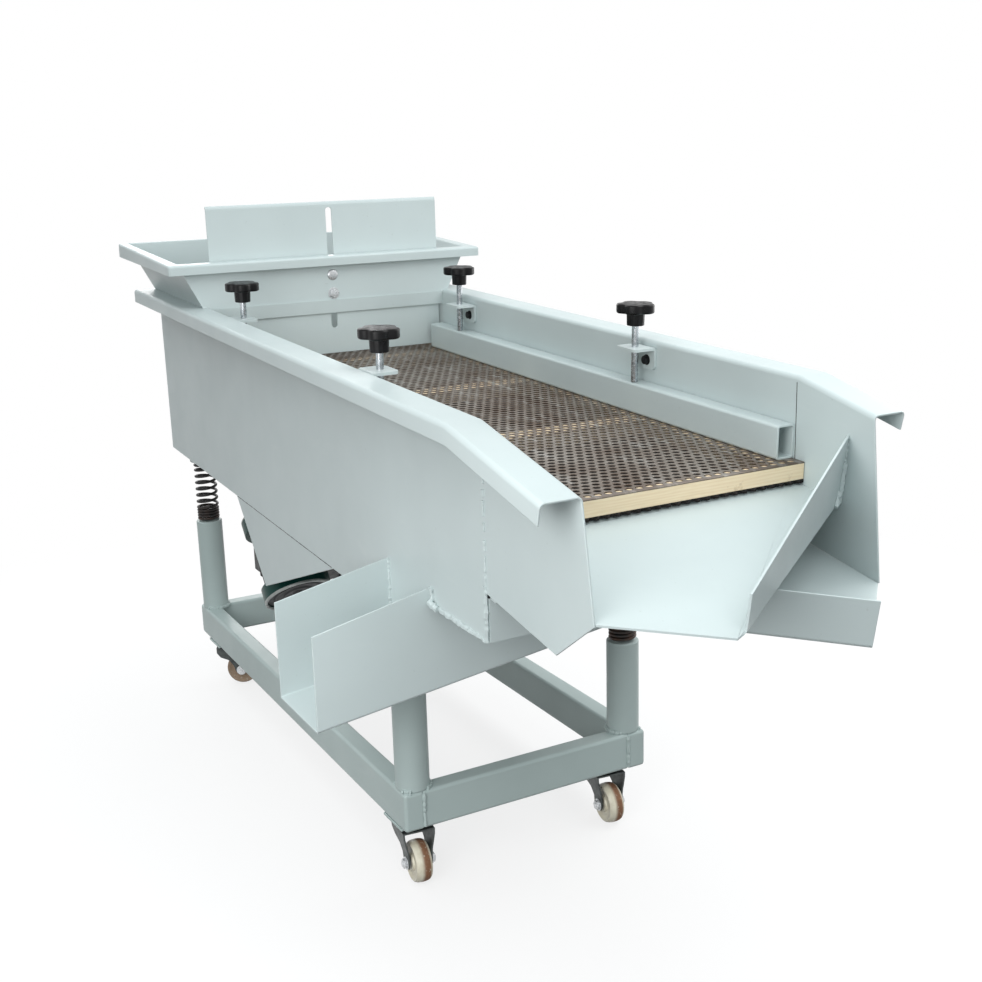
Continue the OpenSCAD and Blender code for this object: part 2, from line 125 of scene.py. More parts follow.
def new_edges(result):
    return [g for g in result["geom"] if isinstance(g, bmesh.types.BMEdge)]


def new_faces(result):
    return [g for g in result["geom"] if isinstance(g, bmesh.types.BMFace)]


def round_edges(bm, edges, radius, segments=3):
    bmesh.ops.bevel(bm, geom=list(edges), offset=radius, offset_type="OFFSET", segments=segments,
                    profile=0.5, affect="EDGES", clamp_overlap=True, material=-1)


def move(bm, matrix):
    bmesh.ops.transform(bm, matrix=matrix, verts=bm.verts)


def everything(bm):
    return list(bm.verts) + list(bm.edges) + list(bm.faces)


def face_out(bm, wrong_way=None):
    """Makes the faces agree, then turns them over if a test finds them the wrong way round."""
    bmesh.ops.recalc_face_normals(bm, faces=bm.faces)
    if wrong_way and wrong_way():
        bmesh.ops.reverse_faces(bm, faces=bm.faces)


def outline(bm, points):
    return bm.faces.new([bm.verts.new(p) for p in points])


def grow_edges(bm, edges, step):
    """Extrudes edges by a step and gives the new outer edges."""
    grown = bmesh.ops.extrude_edge_only(bm, edges=list(edges))
    verts = new_verts(grown)
    bmesh.ops.translate(bm, vec=step, verts=verts)
    moved = set(verts)
    return [e for e in new_edges(grown) if e.verts[0] in moved and e.verts[1] in moved]


def edges_between(bm, test):
    """Edges whose two ends both pass the test."""
    return [e for e in bm.edges if test(e.verts[0].co) and test(e.verts[1].co)]


def cut_plate(bm, points, run):
    """A flat plate: an outline carried along a run."""
    face = outline(bm, points)
    grown = bmesh.ops.extrude_face_region(bm, geom=[face])
    bmesh.ops.translate(bm, vec=run, verts=new_verts(grown))


def block(bm, lows, highs, soft=1.0, segments=2):
    lows, highs = Vector(lows), Vector(highs)
    size = highs - lows
    where = Matrix.Translation((lows + highs) / 2) @ Matrix.Diagonal((size.x, size.y, size.z, 1.0))
    made = bmesh.ops.create_cube(bm, size=1.0, matrix=where)
    edges = {e for v in made["verts"] for e in v.link_edges}
    if soft:
        round_edges(bm, edges, soft, segments)


def disc(bm, where, radius, height, soft=0.8, sides=32, top=None, segments=2):
    """A round or hexagonal disc standing on a frame, with softened rims."""
    made = bmesh.ops.create_cone(bm, cap_ends=True, segments=sides, radius1=radius,
                                 radius2=radius if top is None else top, depth=height,
                                 matrix=where @ shift(0, 0, height / 2))
    edges = {e for v in made["verts"] for e in v.link_edges}
    caps = [e for e in edges if any(len(f.verts) == sides for f in e.link_faces)]
    if soft:
        round_edges(bm, caps, soft, segments)


def stack(bm, where, *discs):
    """Discs on one axis, each with its height on it, radius, thickness, softness and sides."""
    for z, radius, height, soft, sides in discs:
        disc(bm, where @ shift(0, 0, z), radius, height, soft, sides)


def turned(points, where, steps=48):
    """A line of (radius, height) points turned round the local Z axis, in a mesh of its own."""
    bm = bmesh.new()
    verts = [bm.verts.new((r, 0, z)) for r, z in points]
    edges = [bm.edges.new(pair) for pair in zip(verts, verts[1:])]
    bmesh.ops.spin(bm, geom=verts + edges, cent=(0, 0, 0), axis=(0, 0, 1), angle=math.tau,
                   steps=steps, use_merge=True)
    bmesh.ops.remove_doubles(bm, verts=bm.verts, dist=0.001)
    move(bm, where)
    face_out(bm)
    return bm


def join(bm, other):
    """Adds another mesh to this one and frees it."""
    mesh = bpy.data.meshes.new("part")
    other.to_mesh(mesh)
    other.free()
    bm.from_mesh(mesh)
    bpy.data.meshes.remove(mesh)


ripples = random.Random(11)


def steps_between(a, b, step, wander=0.0):
    """Points along a line, each a little off it."""
    a, b = Vector(a), Vector(b)
    count = max(2, round((b - a).length / step))
    points = []
    for i in range(count + 1):
        off = Vector([ripples.uniform(-wander, wander) for _ in range(3)])
        points.append(a.lerp(b, i / count) + off)
    return points


def weld_bead(bm, path, radius):
    """A rippled weld bead along a path."""
    path = [Vector(p) for p in path]
    centre, size = path[0], 1.0
    aim = (path[1] - path[0]).normalized()
    turn = Vector((0, 0, 1)).rotation_difference(aim).to_matrix().to_4x4()
    start = bmesh.ops.create_circle(bm, cap_ends=True, segments=6, radius=radius,
                                    matrix=Matrix.Translation(centre) @ turn)
    cap = start["verts"][0].link_faces[0]
    for point in path[1:]:
        grown = bmesh.ops.extrude_face_region(bm, geom=[cap])
        cap = new_faces(grown)[0]
        heading = (point - centre).normalized()
        swing = aim.rotation_difference(heading).to_matrix().to_4x4()
        ripple = ripples.uniform(0.65, 1.2)
        move = (Matrix.Translation(point) @ swing @ Matrix.Scale(ripple / size, 4)
                @ Matrix.Translation(-centre))
        bmesh.ops.transform(bm, matrix=move, verts=list(cap.verts))
        centre, aim, size = point, heading, ripple


def seam(bm, start, end, step, wander, radius):
    """A weld bead along a straight line."""
    weld_bead(bm, steps_between(start, end, step, wander), radius)


def settle(bm, name, body, slot, material, nodes=(), where=None, wall=0.0, edge=0.0, sharp=50.0):
    """Turns a bmesh into a piece on a body, and hides the solids it stands for."""
    if where is not None:
        move(bm, where)
    move(bm, PLACE)
    mesh = bpy.data.meshes.new(name)
    bm.to_mesh(mesh)
    bm.free()
    mesh.materials.append(material)
    mesh.shade_smooth()
    mesh.set_sharp_from_angle(angle=math.radians(sharp))
    piece = bpy.data.objects.new(name, mesh)
    bpy.context.collection.objects.link(piece)
    if wall:
        thick = piece.modifiers.new("sheet", "SOLIDIFY")
        thick.thickness = wall * MM
        thick.offset = -1.0
        thick.use_even_offset = True
    if edge:
        soft = piece.modifiers.new("soft edges", "BEVEL")
        soft.width = edge * MM
        soft.segments = 2
        soft.limit_method = "ANGLE"
        soft.angle_limit = math.radians(sharp)
    piece.modifiers.new("even light", "WEIGHTED_NORMAL").keep_sharp = True
    if body:
        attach(piece, body)
    if nodes:
        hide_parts(*nodes)
    return piece


def painted(bm, name, nodes=(), where=None, **more):
    """A painted piece of the box."""
    settle(bm, name, "screen_box", "paint", PAINT, nodes, where, **more)


# Material helpers
def srgb(r, g, b):
    def linear(c):
        c = c / 255.0
        return c / 12.92 if c <= 0.04045 else ((c + 0.055) / 1.055) ** 2.4
    return (linear(r), linear(g), linear(b), 1.0)


def add_node(tree, kind, values=None, wires=None, **settings):
    """A shader node with its settings, its plain values and what runs into it."""
    node = tree.nodes.new("ShaderNode" + kind)
    for name, value in settings.items():
        setattr(node, name, value)
    for socket, value in (values or {}).items():
        node.inputs[socket].default_value = value
    for socket, output in (wires or {}).items():
        tree.links.new(output, node.inputs[socket])
    return node


def map_range(tree, value, low_in, high_in, low_out, high_out):
    values = {"From Min": low_in, "From Max": high_in, "To Min": low_out, "To Max": high_out}
    return add_node(tree, "MapRange", values, {"Value": value}).outputs["Result"]


class Finish:
    """A node material that reads object coordinates."""

    def __init__(self, name):
        self.material = bpy.data.materials.new(name)
        self.material.use_nodes = True
        self.tree = self.material.node_tree
        self.shader = self.tree.nodes["Principled BSDF"]
        self.coords = self.add("TexCoord").outputs["Object"]

    def add(self, kind, values=None, wires=None, **settings):
        return add_node(self.tree, kind, values, wires, **settings)

    def set(self, **sockets):
        for name, value in sockets.items():
            self.shader.inputs[name.replace("_", " ")].default_value = value

    def drive(self, socket, output):
        self.tree.links.new(output, self.shader.inputs[socket])

    def stretched(self, scale):
        return self.add("Mapping", {"Scale": scale}, {"Vector": self.coords}).outputs["Vector"]

    def noise(self, scale, detail=3.0, rough=0.5, vector=None, distortion=0.0):
        values = {"Scale": scale, "Detail": detail, "Roughness": rough, "Distortion": distortion}
        return self.add("TexNoise", values, {"Vector": vector or self.coords}).outputs["Fac"]

    def span(self, value, low_in, high_in, low_out=0.0, high_out=1.0):
        return map_range(self.tree, value, low_in, high_in, low_out, high_out)

    def blend(self, factor, first, second):
        node = self.add("Mix", wires={"Factor": factor}, data_type="RGBA")
        for colour, socket in ((first, node.inputs[6]), (second, node.inputs[7])):
            if isinstance(colour, tuple):
                socket.default_value = colour
            else:
                self.tree.links.new(colour, socket)
        return node.outputs[2]

    def times(self, first, second):
        return self.add("Math", wires={0: first, 1: second}, operation="MULTIPLY").outputs[0]

    def axis(self, index):
        return self.add("SeparateXYZ", wires={0: self.coords}).outputs[index]

    def attribute(self, name):
        return self.add("Attribute", attribute_name=name).outputs["Fac"]

    def bump(self, height, strength, distance):
        node = self.add("Bump", {"Strength": strength, "Distance": distance}, {"Height": height})
        self.drive("Normal", node.outputs["Normal"])


def enamel(name, body_tone, shade_tone, gloss):
    """Sprayed enamel: a slow drift of tone, thin dust, and orange peel."""
    paint = Finish(name)
    drift = paint.span(paint.noise(2.3, 4.0, 0.55), 0.35, 0.68)
    tone = paint.blend(drift, body_tone, shade_tone)
    specks = paint.span(paint.noise(160.0, 2.0, 0.6), 0.70, 0.78, 0.0, 0.22)
    dusty = paint.blend(specks, tone, srgb(150, 156, 150))
    wiped = paint.noise(9.0, 6.0, 0.65, paint.stretched((1.0, 0.6, 2.2)), 1.2)
    smears = paint.span(wiped, 0.60, 0.78, 0.0, 0.16)
    paint.drive("Base Color", paint.blend(smears, dusty, srgb(214, 220, 218)))
    sheen = paint.noise(14.0, 5.0, 0.6)
    paint.drive("Roughness", paint.span(sheen, 0.3, 0.75, gloss - 0.05, gloss + 0.10))
    paint.set(Specular_IOR_Level=0.16, Coat_Weight=0.06, Coat_Roughness=0.08)
    paint.bump(paint.noise(420.0, 2.0, 0.5), 0.05, 0.0006)
    return paint.material


def worn_steel(name, tone, stain, rough, metal, scale):
    steel = Finish(name)
    patches = steel.span(steel.noise(scale, 6.0, 0.65), 0.42, 0.68)
    steel.drive("Base Color", steel.blend(patches, tone, stain))
    scuffs = steel.noise(scale * 3.0, 4.0, 0.6)
    steel.drive("Roughness", steel.span(scuffs, 0.3, 0.7, rough - 0.08, rough + 0.14))
    steel.set(Metallic=metal)
    steel.bump(steel.noise(900.0, 3.0, 0.6), 0.08, 0.0004)
    return steel.material


def pine(name, grain_scale):
    """Sawn pine with its grain along one axis."""
    board = Finish(name)
    along = board.stretched(grain_scale)
    rings = board.add("TexWave", {"Scale": 60.0, "Distortion": 7.0, "Detail": 3.0}, {"Vector": along},
                      wave_type="BANDS", bands_direction="Z")
    stripes = board.span(rings.outputs["Fac"], 0.2, 1.0, 0.0, 0.24)
    wood = board.blend(stripes, srgb(242, 222, 190), srgb(220, 188, 142))
    fibre = board.span(board.noise(300.0, 4.0, 0.7, along), 0.40, 0.75, 0.0, 0.22)
    wood = board.blend(fibre, wood, srgb(200, 164, 118))
    stains = board.span(board.noise(26.0, 5.0, 0.7), 0.62, 0.74, 0.0, 0.5)
    board.drive("Base Color", board.blend(stains, wood, srgb(160, 126, 88)))
    board.drive("Roughness", board.span(board.noise(120.0, 3.0), 0.3, 0.7, 0.62, 0.8))
    board.bump(board.noise(300.0, 4.0, 0.7, along), 0.25, 0.0008)
    return board.material


def coil_steel():
    """Black spring steel, rusty on the closed coils over the posts."""
    coil = Finish("coil_steel")
    rust = coil.span(coil.noise(45.0, 5.0, 0.7), 0.42, 0.62)
    height = coil.span(coil.axis("Z"), 0.392, 0.450, 1.0, 0.0)
    coil.drive("Base Color", coil.blend(coil.times(rust, height), srgb(26, 25, 25), srgb(64, 42, 28)))
    coil.drive("Roughness", coil.span(coil.noise(90.0, 4.0), 0.3, 0.7, 0.38, 0.62))
    coil.set(Metallic=0.35)
    coil.bump(coil.noise(600.0, 3.0, 0.6), 0.2, 0.0004)
    return coil.material


def roller_nylon():
    """Cream nylon with a brown worn band on the tread; on the rear left wheel the brown spreads all over,
    as dirt and as painted shade.
    """
    nylon = Finish("roller_nylon")
    grime = nylon.span(nylon.noise(70.0, 5.0, 0.65), 0.40, 0.70, 0.0, 0.35)
    cream = nylon.blend(grime, srgb(226, 220, 200), srgb(176, 160, 130))
    ragged = nylon.span(nylon.noise(190.0, 4.0, 0.7), 0.22, 0.42)
    band = nylon.times(ragged, nylon.attribute("wear_and_shade"))
    dirt = nylon.blend(nylon.noise(120.0, 3.0), srgb(150, 108, 78), srgb(104, 70, 50))
    nylon.drive("Base Color", nylon.blend(band, cream, dirt))
    nylon.drive("Roughness", nylon.span(band, 0.0, 1.0, 0.40, 0.80))
    nylon.bump(nylon.noise(420.0, 4.0, 0.6), 0.15, 0.0006)
    return nylon.material


def moulded_plastic():
    knob = Finish("knob_plastic")
    handled = knob.span(knob.noise(60.0, 4.0), 0.4, 0.75)
    knob.drive("Base Color", knob.blend(handled, srgb(9, 9, 11), srgb(18, 18, 20)))
    knob.drive("Roughness", knob.span(knob.noise(140.0, 3.0), 0.3, 0.7, 0.26, 0.42))
    knob.set(Specular_IOR_Level=0.22)
    knob.bump(knob.noise(1500.0, 2.0), 0.08, 0.0003)
    return knob.material


def sieve_steel():
    """Punched steel sheet, brown from use, brighter where it is rubbed."""
    steel = Finish("sieve_steel")
    patches = steel.span(steel.noise(7.0, 6.0, 0.65), 0.38, 0.66)
    tone = steel.blend(patches, srgb(140, 132, 124), srgb(104, 88, 76))
    rubbed = steel.noise(18.0, 5.0, 0.7, steel.stretched((3.0, 0.5, 1.0)))
    streaks = steel.span(rubbed, 0.55, 0.75, 0.0, 0.7)
    steel.drive("Base Color", steel.blend(streaks, tone, srgb(196, 194, 190)))
    steel.drive("Roughness", steel.span(steel.noise(30.0, 5.0), 0.3, 0.7, 0.34, 0.56))
    steel.set(Metallic=0.55)
    steel.bump(steel.noise(500.0, 3.0, 0.6), 0.1, 0.0004)
    return steel.material


PAINT = enamel("pale_enamel", srgb(199, 210, 210), srgb(191, 202, 202), 0.34)
FRAME_PAINT = enamel("frame_enamel", srgb(188, 202, 200), srgb(176, 190, 188), 0.38)
GREEN_PAINT = enamel("motor_enamel", srgb(6, 58, 52), srgb(4, 44, 40), 0.36)
CASTER_STEEL = worn_steel("caster_steel", srgb(86, 91, 90), srgb(56, 60, 60), 0.46, 0.5, 40.0)
BRIGHT_STEEL = worn_steel("plated_steel", srgb(216, 218, 220), srgb(186, 189, 191), 0.30, 0.7, 60.0)
ROD_STEEL = worn_steel("rod_steel", srgb(196, 200, 204), srgb(150, 154, 158), 0.22, 0.95, 60.0)
# Dark steel, also used as painted shade in the right wall seam
DARK_STEEL_AND_SEAM_SHADE = worn_steel("dark_steel", srgb(40, 34, 32), srgb(22, 18, 17), 0.55, 0.4, 30.0)
# Dark cast grey of the motor drums, also painted shade on the motor feet and cable boxes
MOTOR_GREY_AND_SHADE = worn_steel("motor_grey_and_shade", srgb(38, 39, 40), srgb(22, 23, 24), 0.5, 0.15, 24.0)
MOTOR_RIM = worn_steel("motor_rim", srgb(158, 162, 160), srgb(116, 120, 118), 0.4, 0.4, 40.0)
BOLT_BLACK = worn_steel("black_bolt", srgb(30, 31, 33), srgb(20, 20, 22), 0.42, 0.5, 80.0)
SIEVE_STEEL = sieve_steel()
COIL_STEEL = coil_steel()
NYLON = roller_nylon()
KNOB_PLASTIC = moulded_plastic()
PINE_CROSS = pine("pine_cross_boards", (0.06, 1.0, 1.0))
PINE_LONG = pine("pine_long_boards", (1.0, 0.06, 1.0))


# Base frame
def base_frame():
    bm = bmesh.new()
    inner_x, inner_y = BASE_X - TUBE_W, BASE_Y - TUBE_W
    for s in (-1, 1):
        x0, x1 = sorted((s * inner_x, s * BASE_X))
        block(bm, (x0, -BASE_Y, TUBE_LOW), (x1, BASE_Y, TUBE_TOP), 6.5, 5)
        y0, y1 = sorted((s * inner_y, s * BASE_Y))
        block(bm, (-inner_x - 4, y0 + (0.8 if s < 0 else 0), TUBE_LOW + 0.4),
              (inner_x + 4, y1 - (0.8 if s > 0 else 0), TUBE_TOP - 0.4), 6.5, 5)
    settle(bm, "base_tubes", "base", "paint", FRAME_PAINT, ["base_frame"])
    welds = bmesh.new()
    for sx in (-1, 1):
        for sy in (-1, 1):
            x = sx * (inner_x + 0.5)
            face = sy * (BASE_Y - 1.6)
            back = sy * (inner_y - 0.5)
            outside, over = face + sy * 0.2, TUBE_TOP - 1.2
            foot, head = TUBE_LOW + 5, TUBE_TOP - 5
            seam(welds, (x, outside, foot), (x, outside, head), 5, 0.5, 4.2)
            seam(welds, (x, face - sy * 4, over), (x, back + sy * 3, over), 3, 0.3, 2.4)
            seam(welds, (x, back, foot), (x, back, head), 3, 0.3, 2.4)
    settle(welds, "base_welds", "base", "paint", FRAME_PAINT)


def posts():
    bm = bmesh.new()
    welds = bmesh.new()
    for x, y, top in POSTS:
        disc(bm, shift(x, y, TUBE_TOP - 0.5), POST_R, top - TUBE_TOP + 0.5, 2.2, 48, segments=3)
        ring = []
        for i in range(49):
            a = math.tau * i / 48
            r = POST_R + ripples.uniform(-0.3, 0.5)
            ring.append((x + r * math.cos(a), y + r * math.sin(a), TUBE_TOP + 1.0))
        ring = [p for p in ring if abs(p[0]) < BASE_X - 4.0 and abs(p[1]) < BASE_Y - 4.0]
        for a, b in zip(ring, ring[1:]):
            if (Vector(a) - Vector(b)).length < 6.0:
                weld_bead(welds, (a, b), 4.6)
    settle(bm, "post_pipes", "base", "paint", FRAME_PAINT, ["posts"])
    settle(welds, "post_welds", "base", "paint", FRAME_PAINT)


def spring(name, x, y, foot, node):
    """A coil spring: closed turns on the post, open turns above, one closed turn at the top."""
    bm = bmesh.new()
    mean = SPRING_R - WIRE_R
    ring = bmesh.ops.create_circle(bm, cap_ends=True, segments=10, radius=WIRE_R,
                                   matrix=shift(mean, 0, WIRE_R) @ about(QUARTER, "X"))
    cap = ring["verts"][0].link_faces[0]
    per_turn = 28
    closed, open_turns, end_turns = 4.6, 6.5, 1.2
    tight = 2.04 * WIRE_R
    loose = (SPRING_H - 2 * WIRE_R - (closed + end_turns) * tight) / open_turns
    pitches = []
    for turns, pitch in ((closed, tight), (open_turns, loose), (end_turns, tight)):
        pitches += [pitch] * round(turns * per_turn)
    for pitch in pitches:
        grown = bmesh.ops.extrude_face_region(bm, geom=[cap])
        cap = new_faces(grown)[0]
        turn = shift(0, 0, pitch / per_turn) @ about(math.tau / per_turn, "Z")
        bmesh.ops.transform(bm, matrix=turn, verts=list(cap.verts))
    face_out(bm)
    piece = settle(bm, name, None, "spring_steel", COIL_STEEL, [node], shift(x, y, foot))
    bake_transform(piece)


def springs():
    for x, y, top in POSTS:
        end = "front" if y < 0 else "rear"
        side = "left" if x < 0 else "right"
        spring("spring_" + end + "_" + side, x, y, top, "springs_" + end)


def spring_seats():
    bm = bmesh.new()
    for x, y, top in POSTS:
        foot = top + SPRING_H
        disc(bm, shift(x, y, foot), SEAT_R, low(y) - foot + 0.6, 2.0, 48)
    painted(bm, "seat_cups", ["spring_seats"])


# Casters
TRAIL, WHEEL_R = 30.0, 37.5
CHEEK_IN, CHEEK_T, CHEEK_FLARE = 19.5, 3.0, 7.0
CASTER_PLATE, PLATE_FOOT, BOLT_OUT = 37.0, 105.0, 28.0
STRAIGHT, ASIDE = math.radians(-6.0), math.radians(60.0)
CASTERS = {"fl": (-212.0, -530.0, STRAIGHT), "fr": (189.0, -530.0, STRAIGHT),
           "rl": (-212.0, 500.0, ASIDE), "rr": (189.0, 500.0, STRAIGHT)}


def caster_plates():
    bm = bmesh.new()
    bolts = bmesh.new()
    over = about(math.pi, "X")
    for x, y, _ in CASTERS.values():
        reach = CASTER_PLATE - 0.2
        block(bm, (x - reach, y - reach, PLATE_FOOT), (x + reach, y + reach, TUBE_LOW - 0.2), 1.2)
        for dx in (-1, 1):
            for dy in (-1, 1):
                bolt = shift(x + dx * BOLT_OUT, y + dy * BOLT_OUT, PLATE_FOOT + 0.4)
                disc(bolts, bolt @ over, 6.5, 5.0, 0.8, 6)
    settle(bm, "caster_top_plates", "base", "paint", FRAME_PAINT, ["caster_plates"])
    settle(bolts, "caster_plate_bolts", "base", "dark_steel", BOLT_BLACK)


def fork(key, x, y, turn):
    """Two cheeks that flare out to the swivel plate, with the axle and its nuts."""
    where = shift(x, y, 0) @ about(turn, "Z")
    bm = bmesh.new()
    profile = [(25, 98), (-TRAIL - 10, 98), (-TRAIL - 13, 40), (-TRAIL - 9, 29), (-TRAIL, 25.5),
               (-TRAIL + 9, 28), (-TRAIL + 14, 37), (-TRAIL + 18, 50), (-2, 64), (17, 72), (25, 84)]
    for s in (-1, 1):
        cheek = bmesh.new()
        cut_plate(cheek, [(s * CHEEK_IN, py, pz) for py, pz in profile], (s * CHEEK_T, 0, 0))
        for z in (52, 64, 76, 88):
            bmesh.ops.bisect_plane(cheek, geom=everything(cheek), plane_co=(0, 0, z), plane_no=(0, 0, 1))
        face_out(cheek)
        rims = [e for e in cheek.edges if e.calc_face_angle(0.0) > 1.2]
        round_edges(cheek, rims, 0.8, 2)
        for v in cheek.verts:
            rise = min(1.0, max(0.0, (v.co.z - 50.0) / 46.0))
            v.co.x += s * CHEEK_FLARE * rise * rise * (3 - 2 * rise)
        join(bm, cheek)
    shoulder = CHEEK_IN + CHEEK_T + CHEEK_FLARE
    block(bm, (-shoulder, -TRAIL - 10, 95.5), (shoulder, 25, 99), 1.4, 3)
    disc(bm, shift(0, 0, 98.5), 25.0, 3.0, 1.2, 40, 23.0)
    disc(bm, shift(0, 0, 101.0), 21.0, 3.9, 1.2, 40)
    disc(bm, shift(0, 0, 86.0), 9.0, 9.6, 1.0, 6)
    settle(bm, "cheeks_" + key, "caster_" + key, "caster_steel", CASTER_STEEL, ["fork_" + key], where)
    axle = bmesh.new()
    hub = shift(0, -TRAIL, WHEEL_R)
    for s in (-1, 1):
        out = hub @ shift(s * (CHEEK_IN + CHEEK_T - 0.2), 0, 0) @ about(s * QUARTER, "Y")
        stack(axle, out, (0, 11.5, 1.8, 0.4, 32), (1.6, 9.0, 5.6, 0.9, 6), (6.4, 4.8, 2.2, 0.8, 24))
    disc(axle, hub @ shift(-CHEEK_IN, 0, 0) @ about(QUARTER, "Y"), 4.9, 2 * CHEEK_IN, 0.2, 24)
    settle(axle, "axle_" + key, "caster_" + key, "bright_steel", BRIGHT_STEEL, (), where)


def ramp(value, start, end):
    return max(0.0, min(1.0, (value - start) / (end - start)))


def wheel(key, x, y, turn):
    """A crowned nylon wheel; the tread is worn brown on one side, the rear left one brown all over, as
    dirt and as painted shade.
    """
    where = shift(x, y, 0) @ about(turn, "Z") @ shift(0, -TRAIL, WHEEL_R) @ about(QUARTER, "Y")
    half = [(5.2, 15.8), (12.0, 16.0), (14.6, 15.4), (16.4, 12.2), (24.5, 11.2), (27.4, 12.2),
            (30.5, 14.6), (33.0, 14.6), (35.0, 12.8), (36.4, 9.4), (37.1, 5.6), (37.4, 2.4), (37.48, 0.0)]
    points = half + [(r, -z) for r, z in reversed(half[:-1])]
    points.append(points[0])
    bm = turned(points, Matrix.Identity(4), 64)
    wear_and_shade = bm.verts.layers.float.new("wear_and_shade")
    for v in bm.verts:
        tread = ramp(math.hypot(v.co.x, v.co.y), 34.0, 36.0)
        side = ramp(v.co.z, -5.0, 0.5) * (1.0 - ramp(v.co.z, 11.0, 13.0))
        # The rear left wheel is brown all over: dirt, and painted shade for the shade it stands in
        v[wear_and_shade] = max(0.75, tread) if key == "rl" else tread * side
    settle(bm, "nylon_wheel_" + key, "roller_" + key, "wheel_nylon", NYLON, ["wheel_" + key], where,
           sharp=40)


def casters():
    caster_plates()
    for key, (x, y, turn) in CASTERS.items():
        fork(key, x, y, turn)
        wheel(key, x, y, turn)


# Box walls
LEFT_FRONT, RIGHT_FRONT = -1192.0, -1111.0


def side_wall(name, side, front, low_points, node):
    """A side wall with its rim folded outwards and a lip folded down."""
    bm = bmesh.new()
    x = side * WALL_X
    top = [(BOX_REAR, rim(BOX_REAR)), (FOLD_Y, rim(FOLD_Y)), (front, rim_front(front))]
    outline(bm, [(x, y, z) for y, z in top + low_points])
    crest = {(round(y, 3), round(z, 3)) for y, z in top}
    folds = edges_between(bm, lambda c: (round(c.y, 3), round(c.z, 3)) in crest)
    inner_fold = list(folds)
    outer = grow_edges(bm, folds, (side * (RIM_W - SHEET), 0, 0))
    lip = grow_edges(bm, outer, (0, 0, -RIM_LIP))
    for v in {v for e in lip for v in e.verts}:
        if abs(v.co.y - front) < 0.01:
            v.co.y += 6.0
    wall_face = max(bm.faces, key=lambda f: f.calc_area())
    face_out(bm, lambda: wall_face.normal.x * side < 0)
    round_edges(bm, inner_fold + outer, 5.0, 4)
    painted(bm, name, [node], wall=SHEET, edge=0.9)


def side_walls():
    left_low = [(LEFT_TIP, LOWER_Z + 38), (-1130, LOWER_Z - 26), (SEAM_Y, LOWER_Z + 4),
                (SEAM_Y, front_low(SEAM_Y)),
                (CHUTE_FRONT + 3.5, front_low(CHUTE_FRONT)), (CHUTE_FRONT + 3.5, low(CHUTE_FRONT)),
                (BOX_REAR, low(BOX_REAR))]
    right_low = [(RIGHT_TIP, LOWER_Z - 31), (SEAM_Y, LOWER_Z), (SEAM_Y, front_low(SEAM_Y)),
                 (CHUTE_FRONT, front_low(CHUTE_FRONT)), (CHUTE_FRONT, low(CHUTE_FRONT)),
                 (BOX_REAR, low(BOX_REAR))]
    side_wall("left_wall_sheet", -1, LEFT_FRONT, left_low, "wall_left")
    side_wall("right_wall_sheet", 1, RIGHT_FRONT, right_low, "wall_right")
    welds = bmesh.new()
    x = -WALL_X - 0.4
    top = rim(SEAM_Y) - 70
    while top > LOWER_Z + 20:
        end = top - ripples.uniform(9.0, 24.0)
        seam(welds, (x, SEAM_Y, top), (x, SEAM_Y, end), 4, 0.5, 2.4)
        top = end - ripples.uniform(4.0, 12.0)
    seam(welds, (x, SEAM_Y + 1, LOWER_Z + 14), (x, SEAM_Y + 1, front_low(SEAM_Y)), 4, 0.5, 4.0)
    seam(welds, (x, CHUTE_FRONT - 4, front_low(CHUTE_FRONT) - 1),
         (x, SEAM_Y + 2, front_low(SEAM_Y) + 1), 4, 0.9, 4.2)
    seam(welds, (x, CHUTE_REAR - 3, chute_z(-WALL_X) + 170),
         (x, CHUTE_REAR - 3, chute_z(-WALL_X) + 90), 3.5, 0.7, 3.4)
    corner = Vector((x - 2.0, CHUTE_FRONT - 2, front_low(CHUTE_FRONT)))
    seam(welds, corner + Vector((0, 0, 26)), corner + Vector((0, -2, 2)), 4, 0.8, 3.6)
    seam(welds, corner + Vector((-4, -1, 4)), corner + Vector((-1, -22, -1)), 4, 0.9, 5.6)
    painted(welds, "wall_welds")
    # A thin dark strip on the inner face of the right wall is painted shade, the shade in the seam between
    # its two plates
    gap = bmesh.new()
    block(gap, (IN_X - 0.5, SEAM_Y - 1.2, LOWER_Z + 100),
          (IN_X + 0.2, SEAM_Y - 0.1, rim(SEAM_Y) - 7), 0.2)
    settle(gap, "right_wall_seam_shade_line", "screen_box", "dark_steel", DARK_STEEL_AND_SEAM_SHADE)


def rear_wall():
    bm = bmesh.new()
    half, foot, top = IN_X - 0.3, low(BOX_REAR), rim(BOX_REAR) - 0.4
    cut_plate(bm, [(-half, BOX_REAR, foot), (half, BOX_REAR, foot), (half, BOX_REAR, top),
                   (-half, BOX_REAR, top)], (0, -SHEET, 0))
    face_out(bm)
    round_edges(bm, list(bm.edges), 0.8, 2)
    painted(bm, "rear_wall_sheet", ["rear_wall"])


GUSSET_REAR, GUSSET_TIP, GUSSET_FRONT = 145, -3, -383
GUSSET_DROP, GUSSET_T = 153, 6


